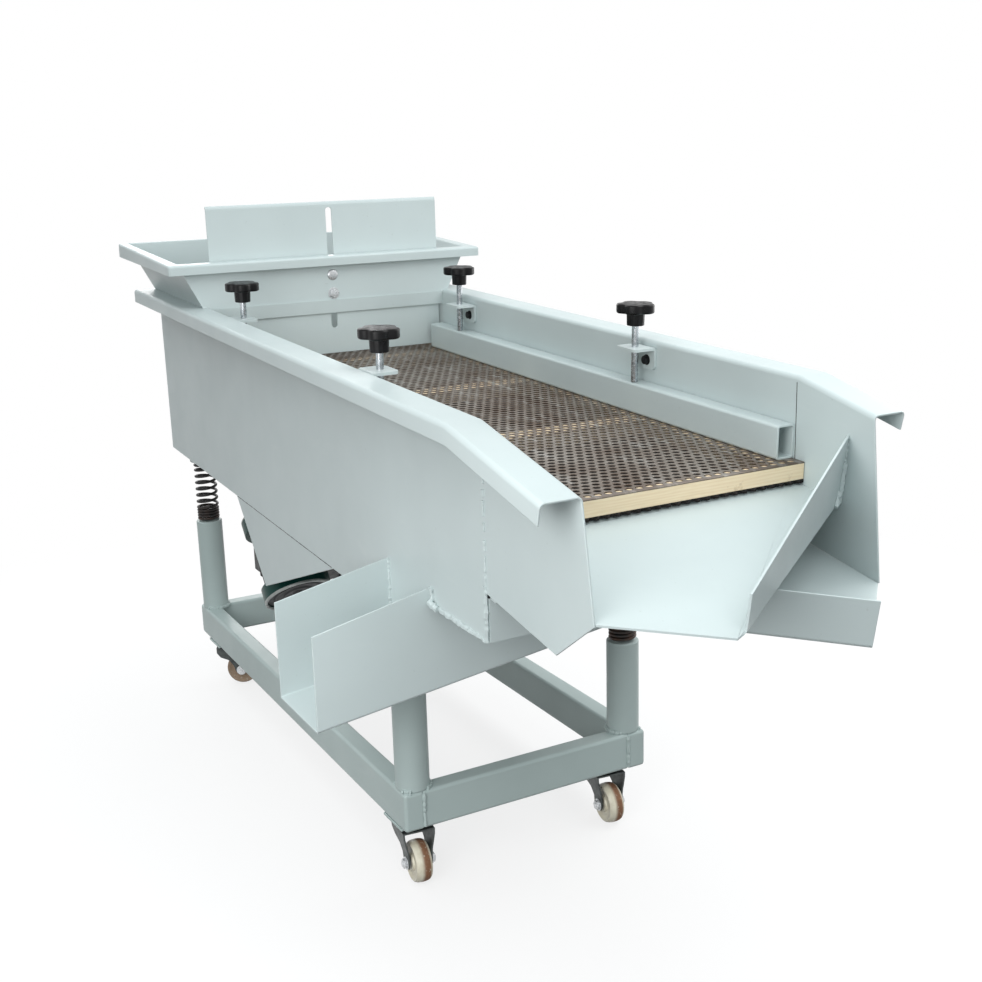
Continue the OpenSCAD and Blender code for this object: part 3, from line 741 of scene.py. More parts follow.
def gussets():
    bm = bmesh.new()
    welds = bmesh.new()
    for s in (-1, 1):
        x = s * WALL_X
        plate = bmesh.new()
        cut_plate(plate, [(x, GUSSET_REAR, low(GUSSET_REAR)), (x, GUSSET_TIP, low(0) - GUSSET_DROP),
                          (x, GUSSET_FRONT, low(GUSSET_FRONT))], (-s * GUSSET_T, 0, 0))
        face_out(plate)
        tip = [e for e in plate.edges if all(v.co.z < low(0) - 120 for v in e.verts)]
        round_edges(plate, tip, 1.6, 2)
        round_edges(plate, [e for e in plate.edges if e.calc_face_angle(0.0) > 1.2], 0.9, 2)
        join(bm, plate)
        rear, front = GUSSET_REAR - 5, GUSSET_FRONT + 7
        seam(welds, (x - s * 0.4, rear, low(rear)), (x - s * 0.4, front, low(front)), 4, 0.2, 1.0)
    painted(bm, "gusset_plates", ["motor_gussets"])
    settle(welds, "gusset_welds", "screen_box", "caster_steel", CASTER_STEEL)


# Vibration motors
MOTOR_X, MOTOR_Y, MOTOR_Z = WALL_X - 81.0, 92.0, low(0) - 125.0
MOTOR_CORE, MOTOR_END = 61.0, 36.0
MOTOR_TILT = math.radians(-40.0)
RIBS = 22
FOOT_BACK, FOOT_L, FOOT_LOW = 82.0, 70.0, 15.0


def motor_frame(s):
    """The frame of one motor, with its shaft along Z."""
    return shift(s * MOTOR_X, MOTOR_Y, MOTOR_Z) @ about(MOTOR_TILT, "X")


def motors():
    """Finned drums with a deep green cover at each end, closed by a dark recessed plate."""
    shells = bmesh.new()
    plates = bmesh.new()
    rims = bmesh.new()
    for s in (-1, 1):
        where = motor_frame(s)
        join(plates, turned([(0, -62), (59, -62), (59, 62), (0, 62)], where, 56))
        for i in range(RIBS):
            rib = bmesh.new()
            block(rib, (56.0, -1.8, -60.0), (MOTOR_CORE, 1.8, 60.0), 1.0)
            move(rib, where @ about(math.tau * i / RIBS, "Z"))
            join(plates, rib)
        for e in (0.0, math.pi):
            end = where @ about(e, "X") @ shift(0, 0, MOTOR_CORE)
            cup = [(0, 0), (70.0, 0), (71.8, 1.8), (71.8, 31.0), (71.0, 31.6), (66.0, 31.6), (66.0, 27.0),
                   (0, 27.0)]
            join(shells, turned(cup, end, 64))
            crest = MOTOR_END - 0.2
            rim_ring = [(66.2, 31.0), (71.9, 31.0), (71.9, 34.0), (70.4, crest), (67.6, crest),
                        (66.2, 34.0), (66.2, 31.0)]
            join(rims, turned(rim_ring, end, 64))
            grille = [(0, 33.0), (10, 33.0), (12, 29.0), (26, 29.0), (28, 31.5), (31, 31.5), (33, 29.0),
                      (46, 29.0), (48, 31.5), (51, 31.5), (53, 29.0), (66, 29.0), (66, 26.5), (0, 26.5)]
            join(plates, turned(grille, end, 64))
    settle(shells, "motor_covers", "screen_box", "motor_paint", GREEN_PAINT, ["motors"])
    settle(plates, "motor_drums", "screen_box", "motor_paint", MOTOR_GREY_AND_SHADE, ["motors"])
    settle(rims, "motor_rims", "screen_box", "motor_paint", MOTOR_RIM)


def motor_feet():
    """Cast blocks on the gussets, and the cable box on the inner side of each drum; their near-black
    finish is partly painted shade, the shade under the box beside the motors.
    """
    feet = bmesh.new()
    boxes = bmesh.new()
    for s in (-1, 1):
        x0, x1 = sorted((s * (WALL_X - 6.0), s * (MOTOR_X + 31.0)))
        y, z = MOTOR_Y - FOOT_BACK, MOTOR_Z - FOOT_LOW
        block(feet, (x0, y, z), (x1, y + FOOT_L, z + FOOT_L), 3.0, 3)
        block(feet, (x0, y + 30.0, z - 7.0), (x1, y + 40.0, z + FOOT_L + 7.0), 3.0, 3)
        case = bmesh.new()
        block(case, (54.0, -20.0, -58.0), (112.0, 44.0, 34.0), 6.0, 3)
        block(case, (110.0, -24.0, -62.0), (120.0, 48.0, 38.0), 3.0, 3)
        for y, z in ((-16.0, -54.0), (-16.0, 30.0), (40.0, -54.0), (40.0, 30.0)):
            disc(case, shift(119.5, y, z) @ about(QUARTER, "Y"), 4.0, 2.6, 0.6, 20)
        stack(case, shift(84.0, 12.0, 33.5), (0, 11.0, 8.0, 1.0, 6), (7.5, 8.0, 10.0, 2.0, 28))
        turn = about(0.0 if s < 0 else math.pi, "Z")
        move(case, motor_frame(s) @ turn)
        join(boxes, case)
    # The feet and the cable boxes are near black partly as painted shade under the box
    settle(feet, "motor_feet", "screen_box", "motor_paint", MOTOR_GREY_AND_SHADE, ["motor_mounts"])
    settle(boxes, "motor_cable_boxes", "screen_box", "motor_paint", MOTOR_GREY_AND_SHADE)


# Trays and chute
UP_LIP = (-114.0, tray_u(-1300.0))
UP_TIP = (UP_LIP[0] - 19.0, UP_LIP[1] - 10.5 / math.cos(TRAY_SLOPE))
UP_WALL = (IN_X - 0.2, tray_u(-1043.0))
LOW_LIP = (125.0, tray_u(-1270.0))
LOW_WALL = (-IN_X + 0.2, tray_u(-972.0))


def near(c, point):
    return abs(c.x - point[0]) < 0.02 and abs(c.y - point[1]) < 0.02


def tray(name, points, lip, wall, lip_height, wall_height, z, node):
    """A sloped tray with one edge turned up as a fence."""
    bm = bmesh.new()
    outline(bm, [(x, y, 0.0) for x, y in points])
    fold = edges_between(bm, lambda c: near(c, lip) or near(c, wall))
    fence = grow_edges(bm, fold, (0, 0, lip_height))
    for v in fence[0].verts:
        if near(v.co, wall):
            v.co.z = wall_height
    face_out(bm, lambda: max(bm.faces, key=lambda f: abs(f.normal.z)).normal.z < 0)
    round_edges(bm, fold, 4.0, 4)
    painted(bm, name, [node], tray_frame(z), wall=SHEET, edge=0.9)


def trays():
    inner = IN_X - 0.2
    tray("upper_tray_sheet",
         [(-inner, 0), (-inner, tray_u(LEFT_TIP)), UP_TIP, UP_LIP, UP_WALL, (inner, 0)],
         UP_LIP, UP_WALL, 50.0, 107.0, UPPER_Z, "upper_tray")
    tray("lower_tray_sheet",
         [(-inner, 0), LOW_WALL, LOW_LIP, (inner, tray_u(RIGHT_TIP)), (inner, 0)],
         LOW_LIP, LOW_WALL, 68.0, 68.0, LOWER_Z, "lower_tray")
    welds = bmesh.new()
    x, y = IN_X - 1.5, UP_WALL[1] - 3.5
    seam(welds, (x, y + 1, 104), (x, y, 40), 4, 0.9, 3.8)
    seam(welds, (x - 1, y - 2, 66), (x - 4, y - 5, 4), 5, 1.0, 5.6)
    seam(welds, (x - 3, y - 4, 22), (x - 18, y - 15, 2), 4, 0.9, 4.6)
    painted(welds, "tray_welds", (), tray_frame(UPPER_Z))


CHUTE_OUT, CHUTE_LOW, CHUTE_SLOPE = -465.6, 425.4, 0.125


def chute_z(x):
    return CHUTE_LOW + (x - CHUTE_OUT) * CHUTE_SLOPE


def fines_chute():
    """A channel across the box, its two plates standing on a folded floor."""
    bm = bmesh.new()
    wall = -WALL_X - 0.2
    rear_pts = [(CHUTE_OUT, chute_z(CHUTE_OUT)), (IN_X, chute_z(IN_X)), (IN_X, low(CHUTE_REAR) + 2),
                (-IN_X, low(CHUTE_REAR) + 2), (-IN_X, front_low(CHUTE_REAR) - 1),
                (wall, front_low(CHUTE_REAR) - 1), (wall, chute_z(-WALL_X) + 172),
                (CHUTE_OUT, chute_z(CHUTE_OUT) + 157)]
    front_pts = [(CHUTE_OUT, chute_z(CHUTE_OUT)), (IN_X, chute_z(IN_X)),
                 (IN_X, front_low(CHUTE_FRONT) - 1), (wall, front_low(CHUTE_FRONT) - 1),
                 (wall, chute_z(-WALL_X) + 166), (CHUTE_OUT, chute_z(CHUTE_OUT) + 150)]
    rear = outline(bm, [(x, CHUTE_REAR, z) for x, z in rear_pts])
    front = outline(bm, [(x, CHUTE_FRONT, z) for x, z in front_pts])
    floor = bm.faces.new([rear.verts[0], front.verts[0], front.verts[1], rear.verts[1]])
    face_out(bm, lambda: floor.normal.z > 0)
    folds = [e for e in floor.edges if abs(e.verts[0].co.x - e.verts[1].co.x) > 10]
    round_edges(bm, folds, 5.0, 4)
    painted(bm, "chute_channel", ["fines_chute"], wall=SHEET, edge=0.9)


# Hopper and feed gate
HOP_Y, HOP_REAR_LOW = 238.0, 606.0
HOP_FOOT = IN_X + 12.0
HOP_H, HOP_TILT = 1034.0, math.radians(4.0)
HOP_FRAME = shift(0, HOP_Y, HOP_H) @ about(HOP_TILT, "X")
HOP_FRONT, HOP_BACK = -26.0, 385.6
FLANGE_HALF = 357.0
LIP_FRONT, LIP_BACK = -20.0, -30.0
BOLT_HIGH, BOLT_LOW = 990.8, 950.8
GATE_Y, GATE_T = 240.5, 3.0
GATE_HALF, GATE_LOW, GATE_TOP = 263.0, 819.84, 1147.0
GATE_ROLL_R, GATE_ROLL = 11.0, math.radians(-50.0)
SLOT_X, SLOT_HALF = 7.0, 7.0


def ring_of(bm, corners):
    verts = [bm.verts.new(c) for c in corners]
    return [bm.edges.new((verts[i], verts[(i + 1) % len(verts)])) for i in range(len(verts))]


def hopper():
    bm = bmesh.new()
    inner = IN_X - 0.4

    def level(half, drop):
        """Four corners at one distance under the tilted rim of the box."""
        front, rear = rim(HOP_Y) - drop, rim(HOP_REAR_LOW) - drop
        return [(-half, HOP_Y, front), (half, HOP_Y, front),
                (half, HOP_REAR_LOW, rear), (-half, HOP_REAR_LOW, rear)]

    def flat(half_front, half_rear, y0, y1, z0=0.0, z1=0.0):
        """Four corners in the tilted frame of the flange."""
        return [HOP_FRAME @ Vector(p) for p in ((-half_front, y0, z0), (half_front, y0, z0),
                                                (half_rear, y1, z1), (-half_rear, y1, z1))]

    def upside_down():
        flange = max((f for f in bm.faces if abs(f.normal.z) > 0.9), key=lambda f: f.calc_area())
        return flange.normal.z < 0

    levels = [level(inner, 29.0), level(inner, -0.8), level(HOP_FOOT, -1.2),
              flat(331.0, 336.0, 0.4, 378.0),
              flat(FLANGE_HALF, FLANGE_HALF, HOP_FRONT, HOP_BACK),
              flat(FLANGE_HALF, FLANGE_HALF, HOP_FRONT, HOP_BACK, LIP_FRONT, LIP_BACK)]
    rings = [ring_of(bm, corners) for corners in levels]
    for first, second in zip(rings, rings[1:]):
        for a, b in zip(first, second):
            bm.faces.new((a.verts[0], a.verts[1], b.verts[1], b.verts[0]))
    face_out(bm, upside_down)
    upright = [e for e in bm.edges if len(e.link_faces) == 2 and e.calc_length() < 40
               and abs(e.verts[0].co.x) > FLANGE_HALF - 1]
    round_edges(bm, rings[4] + upright, 5.0, 4)
    inside = [e for e in bm.edges if e.is_valid and len(e.link_faces) == 2
              and all(abs((HOP_FRAME.inverted() @ v.co).z) < 0.05 and abs(v.co.x) < 345 for v in e.verts)
              and e.calc_face_angle(0.0) > 0.5]
    round_edges(bm, inside, 3.5, 3)
    painted(bm, "hopper_funnel", ["hopper"], wall=2.0, edge=0.6)
    welds = bmesh.new()
    for s in (-1, 1):
        front, rear = HOP_Y + 2, HOP_REAR_LOW - 2
        x = s * (HOP_FOOT + 0.5)
        seam(welds, (x, front, rim(front) + 1.0), (x, rear, rim(rear) + 1.0), 6, 0.4, 2.6)
        seam(welds, (s * (inner - 2), HOP_Y - 1, rim(HOP_Y) - 2),
             (s * (HOP_FOOT + 4), HOP_Y - 1, rim(HOP_Y) + 3), 3.5, 0.8, 4.0)
    painted(welds, "hopper_welds")


def gate_bolts():
    bm = bmesh.new()
    face = shift(SLOT_X, HOP_Y - 0.2, 0) @ about(QUARTER, "X")
    high = face @ shift(0, BOLT_HIGH, 0)
    low_bolt = face @ shift(0, BOLT_LOW, 0)
    dome = [(0, 5.0), (8.0, 4.8), (10.6, 4.0), (11.8, 2.6), (12.4, 0.8), (12.4, 0), (0, 0)]
    join(bm, turned(dome, high, 36))
    stack(bm, low_bolt, (0, 13.0, 2.0, 0.5, 36), (1.8, 10.0, 6.0, 1.1, 6), (7.0, 5.0, 2.4, 0.8, 24))
    for bolt in (high, low_bolt):
        stack(bm, bolt @ about(math.pi, "X"), (0, 4.8, 14.0, 0.5, 24), (8.4, 8.6, 5.6, 0.8, 6))
    settle(bm, "gate_bolt_heads", "screen_box", "bright_steel", BRIGHT_STEEL, ["gate_bolts"])


def feed_gate():
    """A sliding plate with a slot and its top edge rolled back."""
    bm = bmesh.new()

    def faces_rear():
        return sum(f.normal.y * f.calc_area() for f in bm.faces) > 0

    turn_z = GATE_TOP - 9.0
    border = ring_of(bm, [(-GATE_HALF, GATE_Y, GATE_LOW), (GATE_HALF, GATE_Y, GATE_LOW),
                          (GATE_HALF, GATE_Y, turn_z), (-GATE_HALF, GATE_Y, turn_z)])
    bottom, top = GATE_LOW + 55.0 + SLOT_HALF, GATE_TOP - 13.0 - SLOT_HALF
    circle = bmesh.ops.create_circle(bm, cap_ends=False, segments=24, radius=SLOT_HALF,
                                     matrix=shift(SLOT_X, GATE_Y, bottom) @ about(QUARTER, "X"))
    upper = [v for v in circle["verts"] if v.co.z > bottom + 0.01]
    bmesh.ops.translate(bm, vec=(0, 0, top - bottom), verts=upper)
    hole = {e for v in circle["verts"] for e in v.link_edges}
    bmesh.ops.triangle_fill(bm, use_beauty=True, use_dissolve=False, edges=border + list(hole))
    face_out(bm, faces_rear)
    crest = edges_between(bm, lambda c: abs(c.z - turn_z) < 0.01)
    bmesh.ops.spin(bm, geom=crest + list(crest[0].verts), cent=(0, GATE_Y + GATE_ROLL_R, turn_z),
                   axis=(1, 0, 0), angle=GATE_ROLL, steps=6)
    bmesh.ops.remove_doubles(bm, verts=bm.verts, dist=0.001)
    face_out(bm, faces_rear)
    settle(bm, "gate_plate", "gate", "paint", PAINT, ["feed_gate"], wall=GATE_T, edge=0.6)


# Sieve deck
DECK_HALF, DECK_FRONT, DECK_END = 268.5, -979.0, 572.0
PLATE_TOP, PLATE_T, WOOD_T, UNDER_T = -125.0, 2.0, 25.0, 3.0
WOOD_TOP = PLATE_TOP - PLATE_T
UNDER_TOP = WOOD_TOP - WOOD_T
BAY = (DECK_END - DECK_FRONT) / 4
PITCH, ROW, HOLE_R = 17.5, 15.155, 6.7
ROWS, COLUMNS = 100, 30
SAG, SAG_HALF = 1.6, 222.0


def sieve_frame():
    long_boards = bmesh.new()
    cross_boards = bmesh.new()
    for s in (-1, 1):
        x0, x1 = sorted((s * DECK_HALF, s * (DECK_HALF - 45)))
        block(long_boards, (x0, DECK_FRONT + 20.2, UNDER_TOP), (x1, DECK_END - 20.2, WOOD_TOP), 0.8)
    for i in range(5):
        centre = DECK_FRONT + i * BAY
        y0, y1 = max(DECK_FRONT, centre - 20), min(DECK_END, centre + 20)
        reach = DECK_HALF if i in (0, 4) else DECK_HALF - 45.2
        block(cross_boards, (-reach, y0, UNDER_TOP), (reach, y1, WOOD_TOP), 0.8)
    for boards, run, grain in ((long_boards, "long", PINE_LONG), (cross_boards, "cross", PINE_CROSS)):
        settle(boards, "sieve_frame_" + run, "screen_box", "pine", grain, ["sieve_frame"], DECK_FRAME)


def hole_row(bm, columns, first_x, y):
    """One row of round holes in a strip, each hole in a cell of eight faces."""
    hole = bmesh.ops.create_circle(bm, cap_ends=False, segments=8, radius=HOLE_R)["verts"]
    rim_of_cell = bmesh.ops.create_circle(bm, cap_ends=False, segments=8, radius=HOLE_R * 1.2)["verts"]
    for v in rim_of_cell:
        c = v.co
        v.co = Vector((PITCH / 2 * round(c.x / HOLE_R / 0.9), ROW / 2 * round(c.y / HOLE_R / 0.9), 0))
    edges = {e for v in hole + rim_of_cell for e in v.link_edges}
    bmesh.ops.bridge_loops(bm, edges=list(edges))
    cell = everything(bm)
    for i in range(1, columns):
        copy = bmesh.ops.duplicate(bm, geom=cell)
        bmesh.ops.translate(bm, vec=(i * PITCH, 0, 0), verts=new_verts(copy))
    bmesh.ops.translate(bm, vec=(first_x + PITCH / 2, y, 0), verts=bm.verts)


def punched_sheet(rows, front_y):
    """A field of staggered holes, with rows of one hole less between full rows."""
    bm = bmesh.new()
    hole_row(bm, COLUMNS, -COLUMNS * PITCH / 2, front_y + ROW / 2)
    odd = bmesh.new()
    hole_row(odd, COLUMNS - 1, -(COLUMNS - 1) * PITCH / 2, front_y + 1.5 * ROW)
    join(bm, odd)
    for s in (-1, 1):
        x0, x1 = s * (COLUMNS - 1) * PITCH / 2, s * COLUMNS * PITCH / 2
        y0, y1, y2 = front_y + ROW, front_y + 1.5 * ROW, front_y + 2 * ROW
        outline(bm, [(x0, y0, 0), (x1, y0, 0), (x1, y1, 0), (x1, y2, 0), (x0, y2, 0), (x0, y1, 0)])
    pair = everything(bm)
    for i in range(1, rows // 2):
        copy = bmesh.ops.duplicate(bm, geom=pair)
        bmesh.ops.translate(bm, vec=(0, 2 * i * ROW, 0), verts=new_verts(copy))
    bmesh.ops.remove_doubles(bm, verts=bm.verts, dist=0.02)
    return bm


def field_border(bm, test):
    return [e for e in bm.edges if len(e.link_faces) == 1 and all(test(v.co) for v in e.verts)]


def stretch_border(bm, axis, at, to):
    """Carries one straight border of a sheet out to a line."""
    edges = field_border(bm, lambda c: abs(c[axis] - at) < 0.05)
    grown = bmesh.ops.extrude_edge_only(bm, edges=edges)
    for v in new_verts(grown):
        v.co[axis] = to


def stretch_sides(bm):
    for s in (-1, 1):
        stretch_border(bm, 0, s * COLUMNS * PITCH / 2, s * DECK_HALF)


def face_up(bm):
    """Closes the seams of a sheet and turns it face up."""
    bmesh.ops.remove_doubles(bm, verts=bm.verts, dist=0.02)
    face_out(bm, lambda: next(iter(bm.faces)).normal.z < 0)


def sieve_plate():
    front_y = DECK_FRONT + 7.0
    end_y = front_y + ROWS * ROW
    bm = punched_sheet(ROWS, front_y)
    stretch_sides(bm)
    stretch_border(bm, 1, front_y, DECK_FRONT)
    stretch_border(bm, 1, end_y, DECK_END)
    face_up(bm)
    for v in bm.verts:
        across = max(0.0, 1.0 - (v.co.x / SAG_HALF) ** 2)
        along = abs(math.sin(math.pi * (v.co.y - DECK_FRONT) / BAY)) ** 1.5
        waves = 0.25 * across * math.sin(v.co.x / 31.0 + v.co.y / 47.0) ** 2
        v.co.z = PLATE_TOP - SAG * across * along - waves
    settle(bm, "punched_plate", "screen_box", "screen_plate", SIEVE_STEEL, ["sieve_plate"], DECK_FRAME,
           wall=PLATE_T)


def under_plate():
    """The second sheet under the boards, cut through a row of holes at the front."""
    bm = punched_sheet(2, DECK_FRONT - ROW / 2)
    bmesh.ops.bisect_plane(bm, geom=everything(bm), plane_co=(0, DECK_FRONT + 0.02, 0),
                           plane_no=(0, -1, 0), clear_outer=True)
    stretch_sides(bm)
    stretch_border(bm, 1, DECK_FRONT + 1.5 * ROW, DECK_END)
    face_up(bm)
    bmesh.ops.translate(bm, vec=(0, 0, UNDER_TOP - 0.1), verts=bm.verts)
    settle(bm, "lower_punched_plate", "screen_box", "dark_steel", DARK_STEEL_AND_SEAM_SHADE, ["under_plate"], DECK_FRAME,
           wall=2 * UNDER_T)


# Hold-down bars and clamps
BAR_W, BAR_H, BAR_FRONT, BAR_END = 34.0, 54.0, -952.0, 226.5
CLAMP_X = IN_X - 26.0
CLAMPS = {"fl": (-1, -564.0), "fr": (1, -564.0), "rl": (-1, 99.0), "rr": (1, 99.0)}
TAB_T, TAB_L, TAB_OUT, LEG_H = 5.0, 58.0, 21.0, 40.0
TAB_TOP = {"fl": 2.0, "fr": -8.0, "rl": -3.0, "rr": -13.0}
KNOB_LOW, KNOB_R = 29.5, 33.9
HEAD_LOW, HEAD_H = 22.0, 16.6
KNOB_TURN = {"fl": -118.0, "fr": -135.0, "rl": -106.0, "rr": -125.0}
ROD_R = 6.25


def hold_down_bars():
    bm = bmesh.new()
    for s in (-1, 1):
        x0, x1 = sorted((s * (IN_X - 0.2), s * (IN_X - BAR_W)))
        tube = bmesh.new()
        block(tube, (x0, BAR_FRONT, PLATE_TOP), (x1, BAR_END, PLATE_TOP + BAR_H), 0)
        ends = [f for f in tube.faces if abs(f.normal.y) > 0.9]
        bmesh.ops.delete(tube, geom=ends, context="FACES_ONLY")
        round_edges(tube, [e for e in tube.edges if len(e.link_faces) == 2], 5.0, 4)
        join(bm, tube)
    painted(bm, "bar_tubes", ["hold_down_bars"], DECK_FRAME, wall=3.5, edge=0.7)


def clamp_brackets():
    bm = bmesh.new()
    bolts = bmesh.new()
    for key, (s, y) in CLAMPS.items():
        outer, inner = s * (IN_X - 0.3), s * (CLAMP_X - TAB_OUT)
        top, reach = TAB_TOP[key], TAB_L / 2
        angle = bmesh.new()
        outline(angle, [(outer, y - reach, top), (outer, y + reach, top),
                        (inner, y + reach, top), (inner, y - reach, top)])
        fold = edges_between(angle, lambda c: abs(c.x - outer) < 0.01)
        grow_edges(angle, fold, (0, 0, -LEG_H))
        face_out(angle, lambda: max(angle.faces, key=lambda f: abs(f.normal.z)).normal.z < 0)
        corners = [v for v in angle.verts
                   if abs(v.co.z - (top - LEG_H)) < 0.01 or abs(v.co.x - inner) < 0.01]
        bmesh.ops.bevel(angle, geom=corners, offset=8.0, offset_type="OFFSET", segments=4, profile=0.5,
                        affect="VERTICES", clamp_overlap=True, material=-1)
        round_edges(angle, [e for e in angle.edges if len(e.link_faces) == 2], 5.0, 4)
        join(bm, angle)
        face = shift(s * (IN_X - TAB_T - 0.2), y - 7.0, top - 24.0) @ about(-s * QUARTER, "Y")
        stack(bolts, face, (0, 9.4, 1.5, 0.4, 28), (1.2, 7.6, 6.0, 1.0, 28), (6.6, 3.6, 0.9, 0.2, 6))
    painted(bm, "clamp_angles", ["clamp_brackets"], DECK_FRAME, wall=TAB_T, edge=0.7)
    settle(bolts, "bracket_bolts", "screen_box", "dark_steel", BOLT_BLACK, (), DECK_FRAME)


def clamp_rod(key, s, y):
    """A threaded rod from the bar up into its knob."""
    foot, top = PLATE_TOP + BAR_H + 0.3, KNOB_LOW + 10.0
    pitch = 1.75
    points = [(0, 0), (ROD_R - 1.0, 0.0)]
    for i in range(int((top - foot - 2) / pitch)):
        z = 0.8 + i * pitch
        points += [(ROD_R - 0.14, z), (ROD_R, z + 0.5 * pitch)]
    points += [(ROD_R - 0.4, top - foot), (0, top - foot)]
    bm = turned(points, shift(s * CLAMP_X, y, foot), 24)
    settle(bm, "threaded_rod_" + key, "clamp_" + key, "bright_steel", ROD_STEEL, ["rod_" + key],
           DECK_FRAME, sharp=75)


def star_knob(key, s, y):
    """A five-lobed knob on a straight hub, its top slightly domed."""
    bm = bmesh.new()
    where = shift(s * CLAMP_X, y, KNOB_LOW) @ about(math.radians(KNOB_TURN[key]), "Z")
    lobes, sides = 5, 90
    head = bmesh.ops.create_circle(bm, cap_ends=True, segments=sides, radius=KNOB_R)["verts"]
    for v in head:
        dip = 0.5 - 0.5 * math.cos(lobes * math.atan2(v.co.y, v.co.x))
        v.co *= 1.0 - 0.17 * dip ** 2.2
    face = head[0].link_faces[0]
    bmesh.ops.translate(bm, vec=(0, 0, HEAD_LOW), verts=head)
    grown = bmesh.ops.extrude_face_region(bm, geom=[face])
    bmesh.ops.translate(bm, vec=(0, 0, HEAD_H), verts=new_verts(grown))
    face_out(bm)
    caps = [f for f in bm.faces if len(f.verts) == sides]
    round_edges(bm, {e for f in caps for e in f.edges}, 3.4, 4)
    crown = max(bm.faces, key=lambda f: f.calc_center_median().z)
    bmesh.ops.inset_region(bm, faces=[crown], thickness=5.0, depth=0.5)
    crown = max((f for f in bm.faces if len(f.verts) > 8), key=lambda f: f.calc_center_median().z)
    bmesh.ops.inset_region(bm, faces=[crown], thickness=8.0, depth=0.6)
    hub = bmesh.new()
    barrel = bmesh.ops.create_cone(hub, cap_ends=True, segments=48, radius1=15.2, radius2=16.2,
                                   depth=23.0, matrix=shift(0, 0, 11.6))["verts"]
    for v in barrel:
        if math.cos(12 * math.atan2(v.co.y, v.co.x)) < 0:
            v.co.x *= 0.965
            v.co.y *= 0.965
    rims = [e for e in hub.edges if any(len(f.verts) == 48 for f in e.link_faces)]
    round_edges(hub, rims, 0.9, 2)
    join(bm, hub)
    move(bm, where)
    settle(bm, "star_knob_" + key, "clamp_" + key, "knob_plastic", KNOB_PLASTIC, ["knob_" + key],
           DECK_FRAME)


def clamps():
    clamp_brackets()
    for key, (s, y) in CLAMPS.items():
        clamp_rod(key, s, y)
        star_knob(key, s, y)


# Solids whose plain shape is right keep it, with a finish
def dress_solids():
    finishes = {"floor_pan": PAINT, "lower_deck": DARK_STEEL_AND_SEAM_SHADE, "deck_rails": DARK_STEEL_AND_SEAM_SHADE}
    for node, finish in finishes.items():
        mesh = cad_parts[node].data
        mesh.materials.clear()
        mesh.materials.append(finish)


# Stage, light and camera
OVERHEAD = 1.68
FRONT_WALL = 1.12
KEY_POWER = 15.5
SIDE_POWER = 7.0
FILL_POWER = 14.0
FLOOR_BOUNCE = (0.09, 0.09, 0.09, 1.0)
FLOOR_SIZE = 40.0
# The floor glows white, a little less near the machine so that its shadow shows
GLOW_NEAR, GLOW_FAR, GLOW_LEAST = 0.7, 2.2, 0.76
SKY_TONE = (0.94, 0.985, 1.0, 1.0)
# Name, place, target, size and power of each lamp
LAMPS = (("key", (-1.4, -1.25, 1.1), (-0.2, -0.45, 0.65), 1.1, KEY_POWER),
         ("side", (1.0, -0.6, 1.7), (0.35, -0.4, 0.7), 0.9, SIDE_POWER),
         ("rear", (0.4, 2.7, 1.4), (0.05, 0.9, 0.7), 1.5, FILL_POWER),
         ("right", (2.5, 0.4, 1.2), (0.3, 0.3, 0.65), 1.5, FILL_POWER))
CAMERA_TURN, CAMERA_DROP, CAMERA_ROLL = math.radians(28.48), math.radians(14.41), math.radians(1.66)
CAMERA_LENS = 47.815
CAMERA_PLACE = (-1.0136, -2.09495, 1.2310)


def seen_rays(tree):
    """One for rays that show the background: from the camera, mirrored, or passed through."""
    path = add_node(tree, "LightPath")
    total = path.outputs["Is Camera Ray"]
    for name in ("Is Glossy Ray", "Is Transmission Ray"):
        both = {0: total, 1: path.outputs[name]}
        total = add_node(tree, "Math", wires=both, operation="ADD", use_clamp=True).outputs[0]
    return total


def stage():
    bm = bmesh.new()
    bmesh.ops.create_grid(bm, x_segments=2, y_segments=2, size=FLOOR_SIZE)
    mesh = bpy.data.meshes.new("floor")
    bm.to_mesh(mesh)
    bm.free()
    ground = bpy.data.objects.new("floor", mesh)
    bpy.context.collection.objects.link(ground)
    floor = Finish("studio_floor")
    floor.set(Base_Color=(0.9, 0.9, 0.9, 1.0), Roughness=0.9, Specular_IOR_Level=0.0)
    glow = floor.add("Emission").outputs[0]
    away = floor.add("VectorMath", wires={0: floor.coords}, operation="LENGTH").outputs["Value"]
    share = floor.span(away, GLOW_NEAR, GLOW_FAR, GLOW_LEAST, 1.0)
    seen = floor.add("MixShader", wires={0: share, 1: floor.shader.outputs[0], 2: glow}).outputs[0]
    dim = floor.add("BsdfDiffuse", {"Color": FLOOR_BOUNCE}).outputs[0]
    mixed = floor.add("MixShader", wires={0: seen_rays(floor.tree), 1: dim, 2: seen}).outputs[0]
    floor.tree.links.new(mixed, floor.tree.nodes["Material Output"].inputs["Surface"])
    mesh.materials.append(floor.material)


def soft_lamp(name, place, target, size, power):
    data = bpy.data.lights.new(name, "AREA")
    data.shape = "DISK"
    data.size = size
    data.energy = power
    lamp = bpy.data.objects.new(name, data)
    lamp.location = place
    lamp.rotation_euler = (Vector(target) - Vector(place)).to_track_quat("-Z", "Y").to_euler()
    lamp.visible_camera = False
    bpy.context.collection.objects.link(lamp)


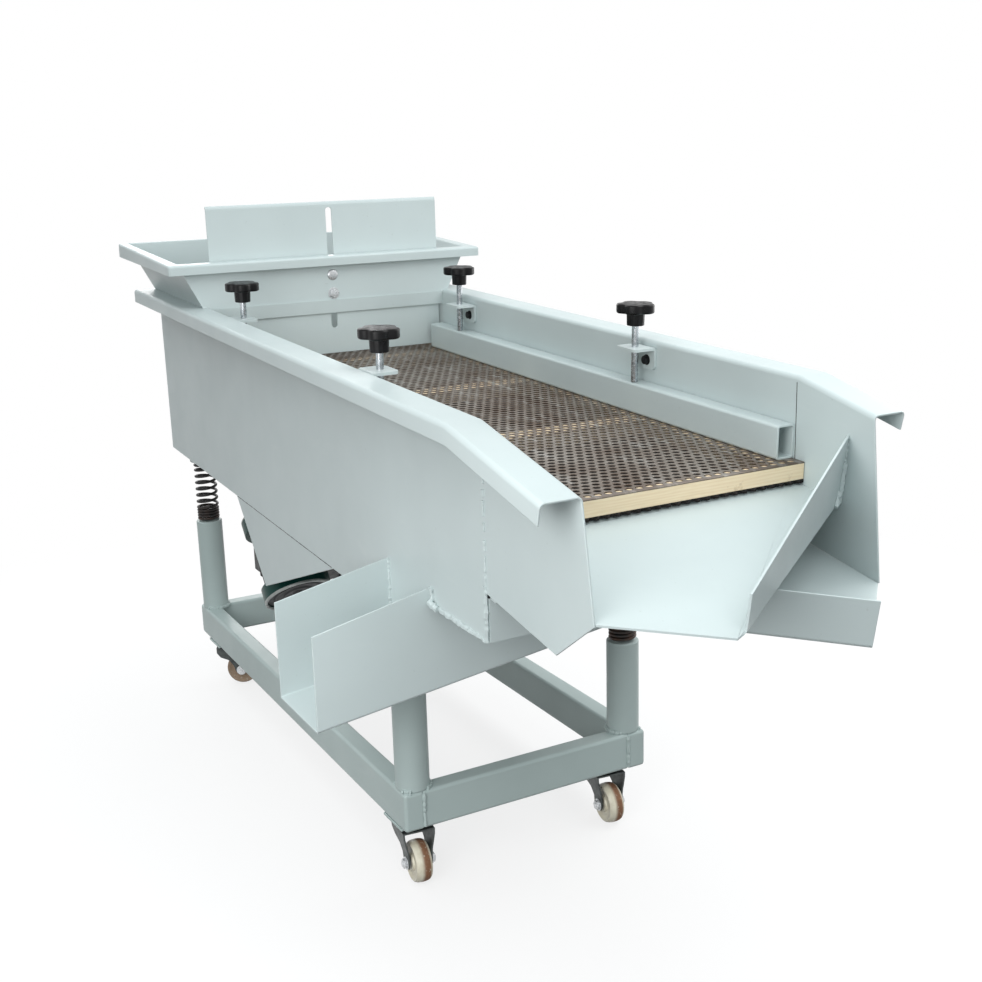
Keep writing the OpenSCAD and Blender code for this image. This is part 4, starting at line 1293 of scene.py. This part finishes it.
def light():
    world = bpy.data.worlds.new("studio")
    world.use_nodes = True
    tree = world.node_tree
    sky = tree.nodes["Background"]
    coords = add_node(tree, "TexCoord").outputs["Generated"]

    def toward(direction, start, end, low_out, high_out):
        """Light that grows toward a direction of the sky."""
        facing = add_node(tree, "VectorMath", {1: direction}, {0: coords}, operation="DOT_PRODUCT")
        return map_range(tree, facing.outputs["Value"], start, end, low_out, high_out)

    above = toward((0.0, 0.0, 1.0), 0.45, 0.95, 0.03, OVERHEAD)
    facing_front = toward((-0.25, -0.97, 0.0), 0.0, 1.0, 0.0, FRONT_WALL)
    strength = add_node(tree, "Math", wires={0: above, 1: facing_front}, operation="ADD")
    tree.links.new(strength.outputs[0], sky.inputs["Strength"])
    sky.inputs["Color"].default_value = SKY_TONE
    plain = add_node(tree, "Background", {"Color": (1.0, 1.0, 1.0, 1.0)})
    mixed = add_node(tree, "MixShader", wires={0: seen_rays(tree), 1: sky.outputs[0], 2: plain.outputs[0]})
    tree.links.new(mixed.outputs[0], tree.nodes["World Output"].inputs["Surface"])
    bpy.context.scene.world = world
    for lamp in LAMPS:
        soft_lamp(*lamp)


def camera():
    turn, drop, roll = CAMERA_TURN, CAMERA_DROP, CAMERA_ROLL
    ahead = Vector((math.sin(turn) * math.cos(drop), math.cos(turn) * math.cos(drop), -math.sin(drop)))
    level = Vector((math.cos(turn), -math.sin(turn), 0.0))
    down = ahead.cross(level)
    right = math.cos(roll) * level + math.sin(roll) * down
    up = math.sin(roll) * level - math.cos(roll) * down
    data = bpy.data.cameras.new("camera")
    data.sensor_width = 36.0
    data.lens = CAMERA_LENS
    view = bpy.data.objects.new("camera", data)
    rows = [(right[i], up[i], -ahead[i], CAMERA_PLACE[i]) for i in range(3)]
    view.matrix_world = Matrix(rows + [(0, 0, 0, 1)])
    bpy.context.collection.objects.link(view)
    bpy.context.scene.camera = view


camera()
light()
stage()
base_frame()
posts()
springs()
spring_seats()
casters()
side_walls()
rear_wall()
gussets()
motors()
motor_feet()
trays()
fines_chute()
hopper()
gate_bolts()
feed_gate()
sieve_frame()
sieve_plate()
under_plate()
hold_down_bars()
clamps()
dress_solids()
bpy.context.scene.view_settings.view_transform = "Standard"
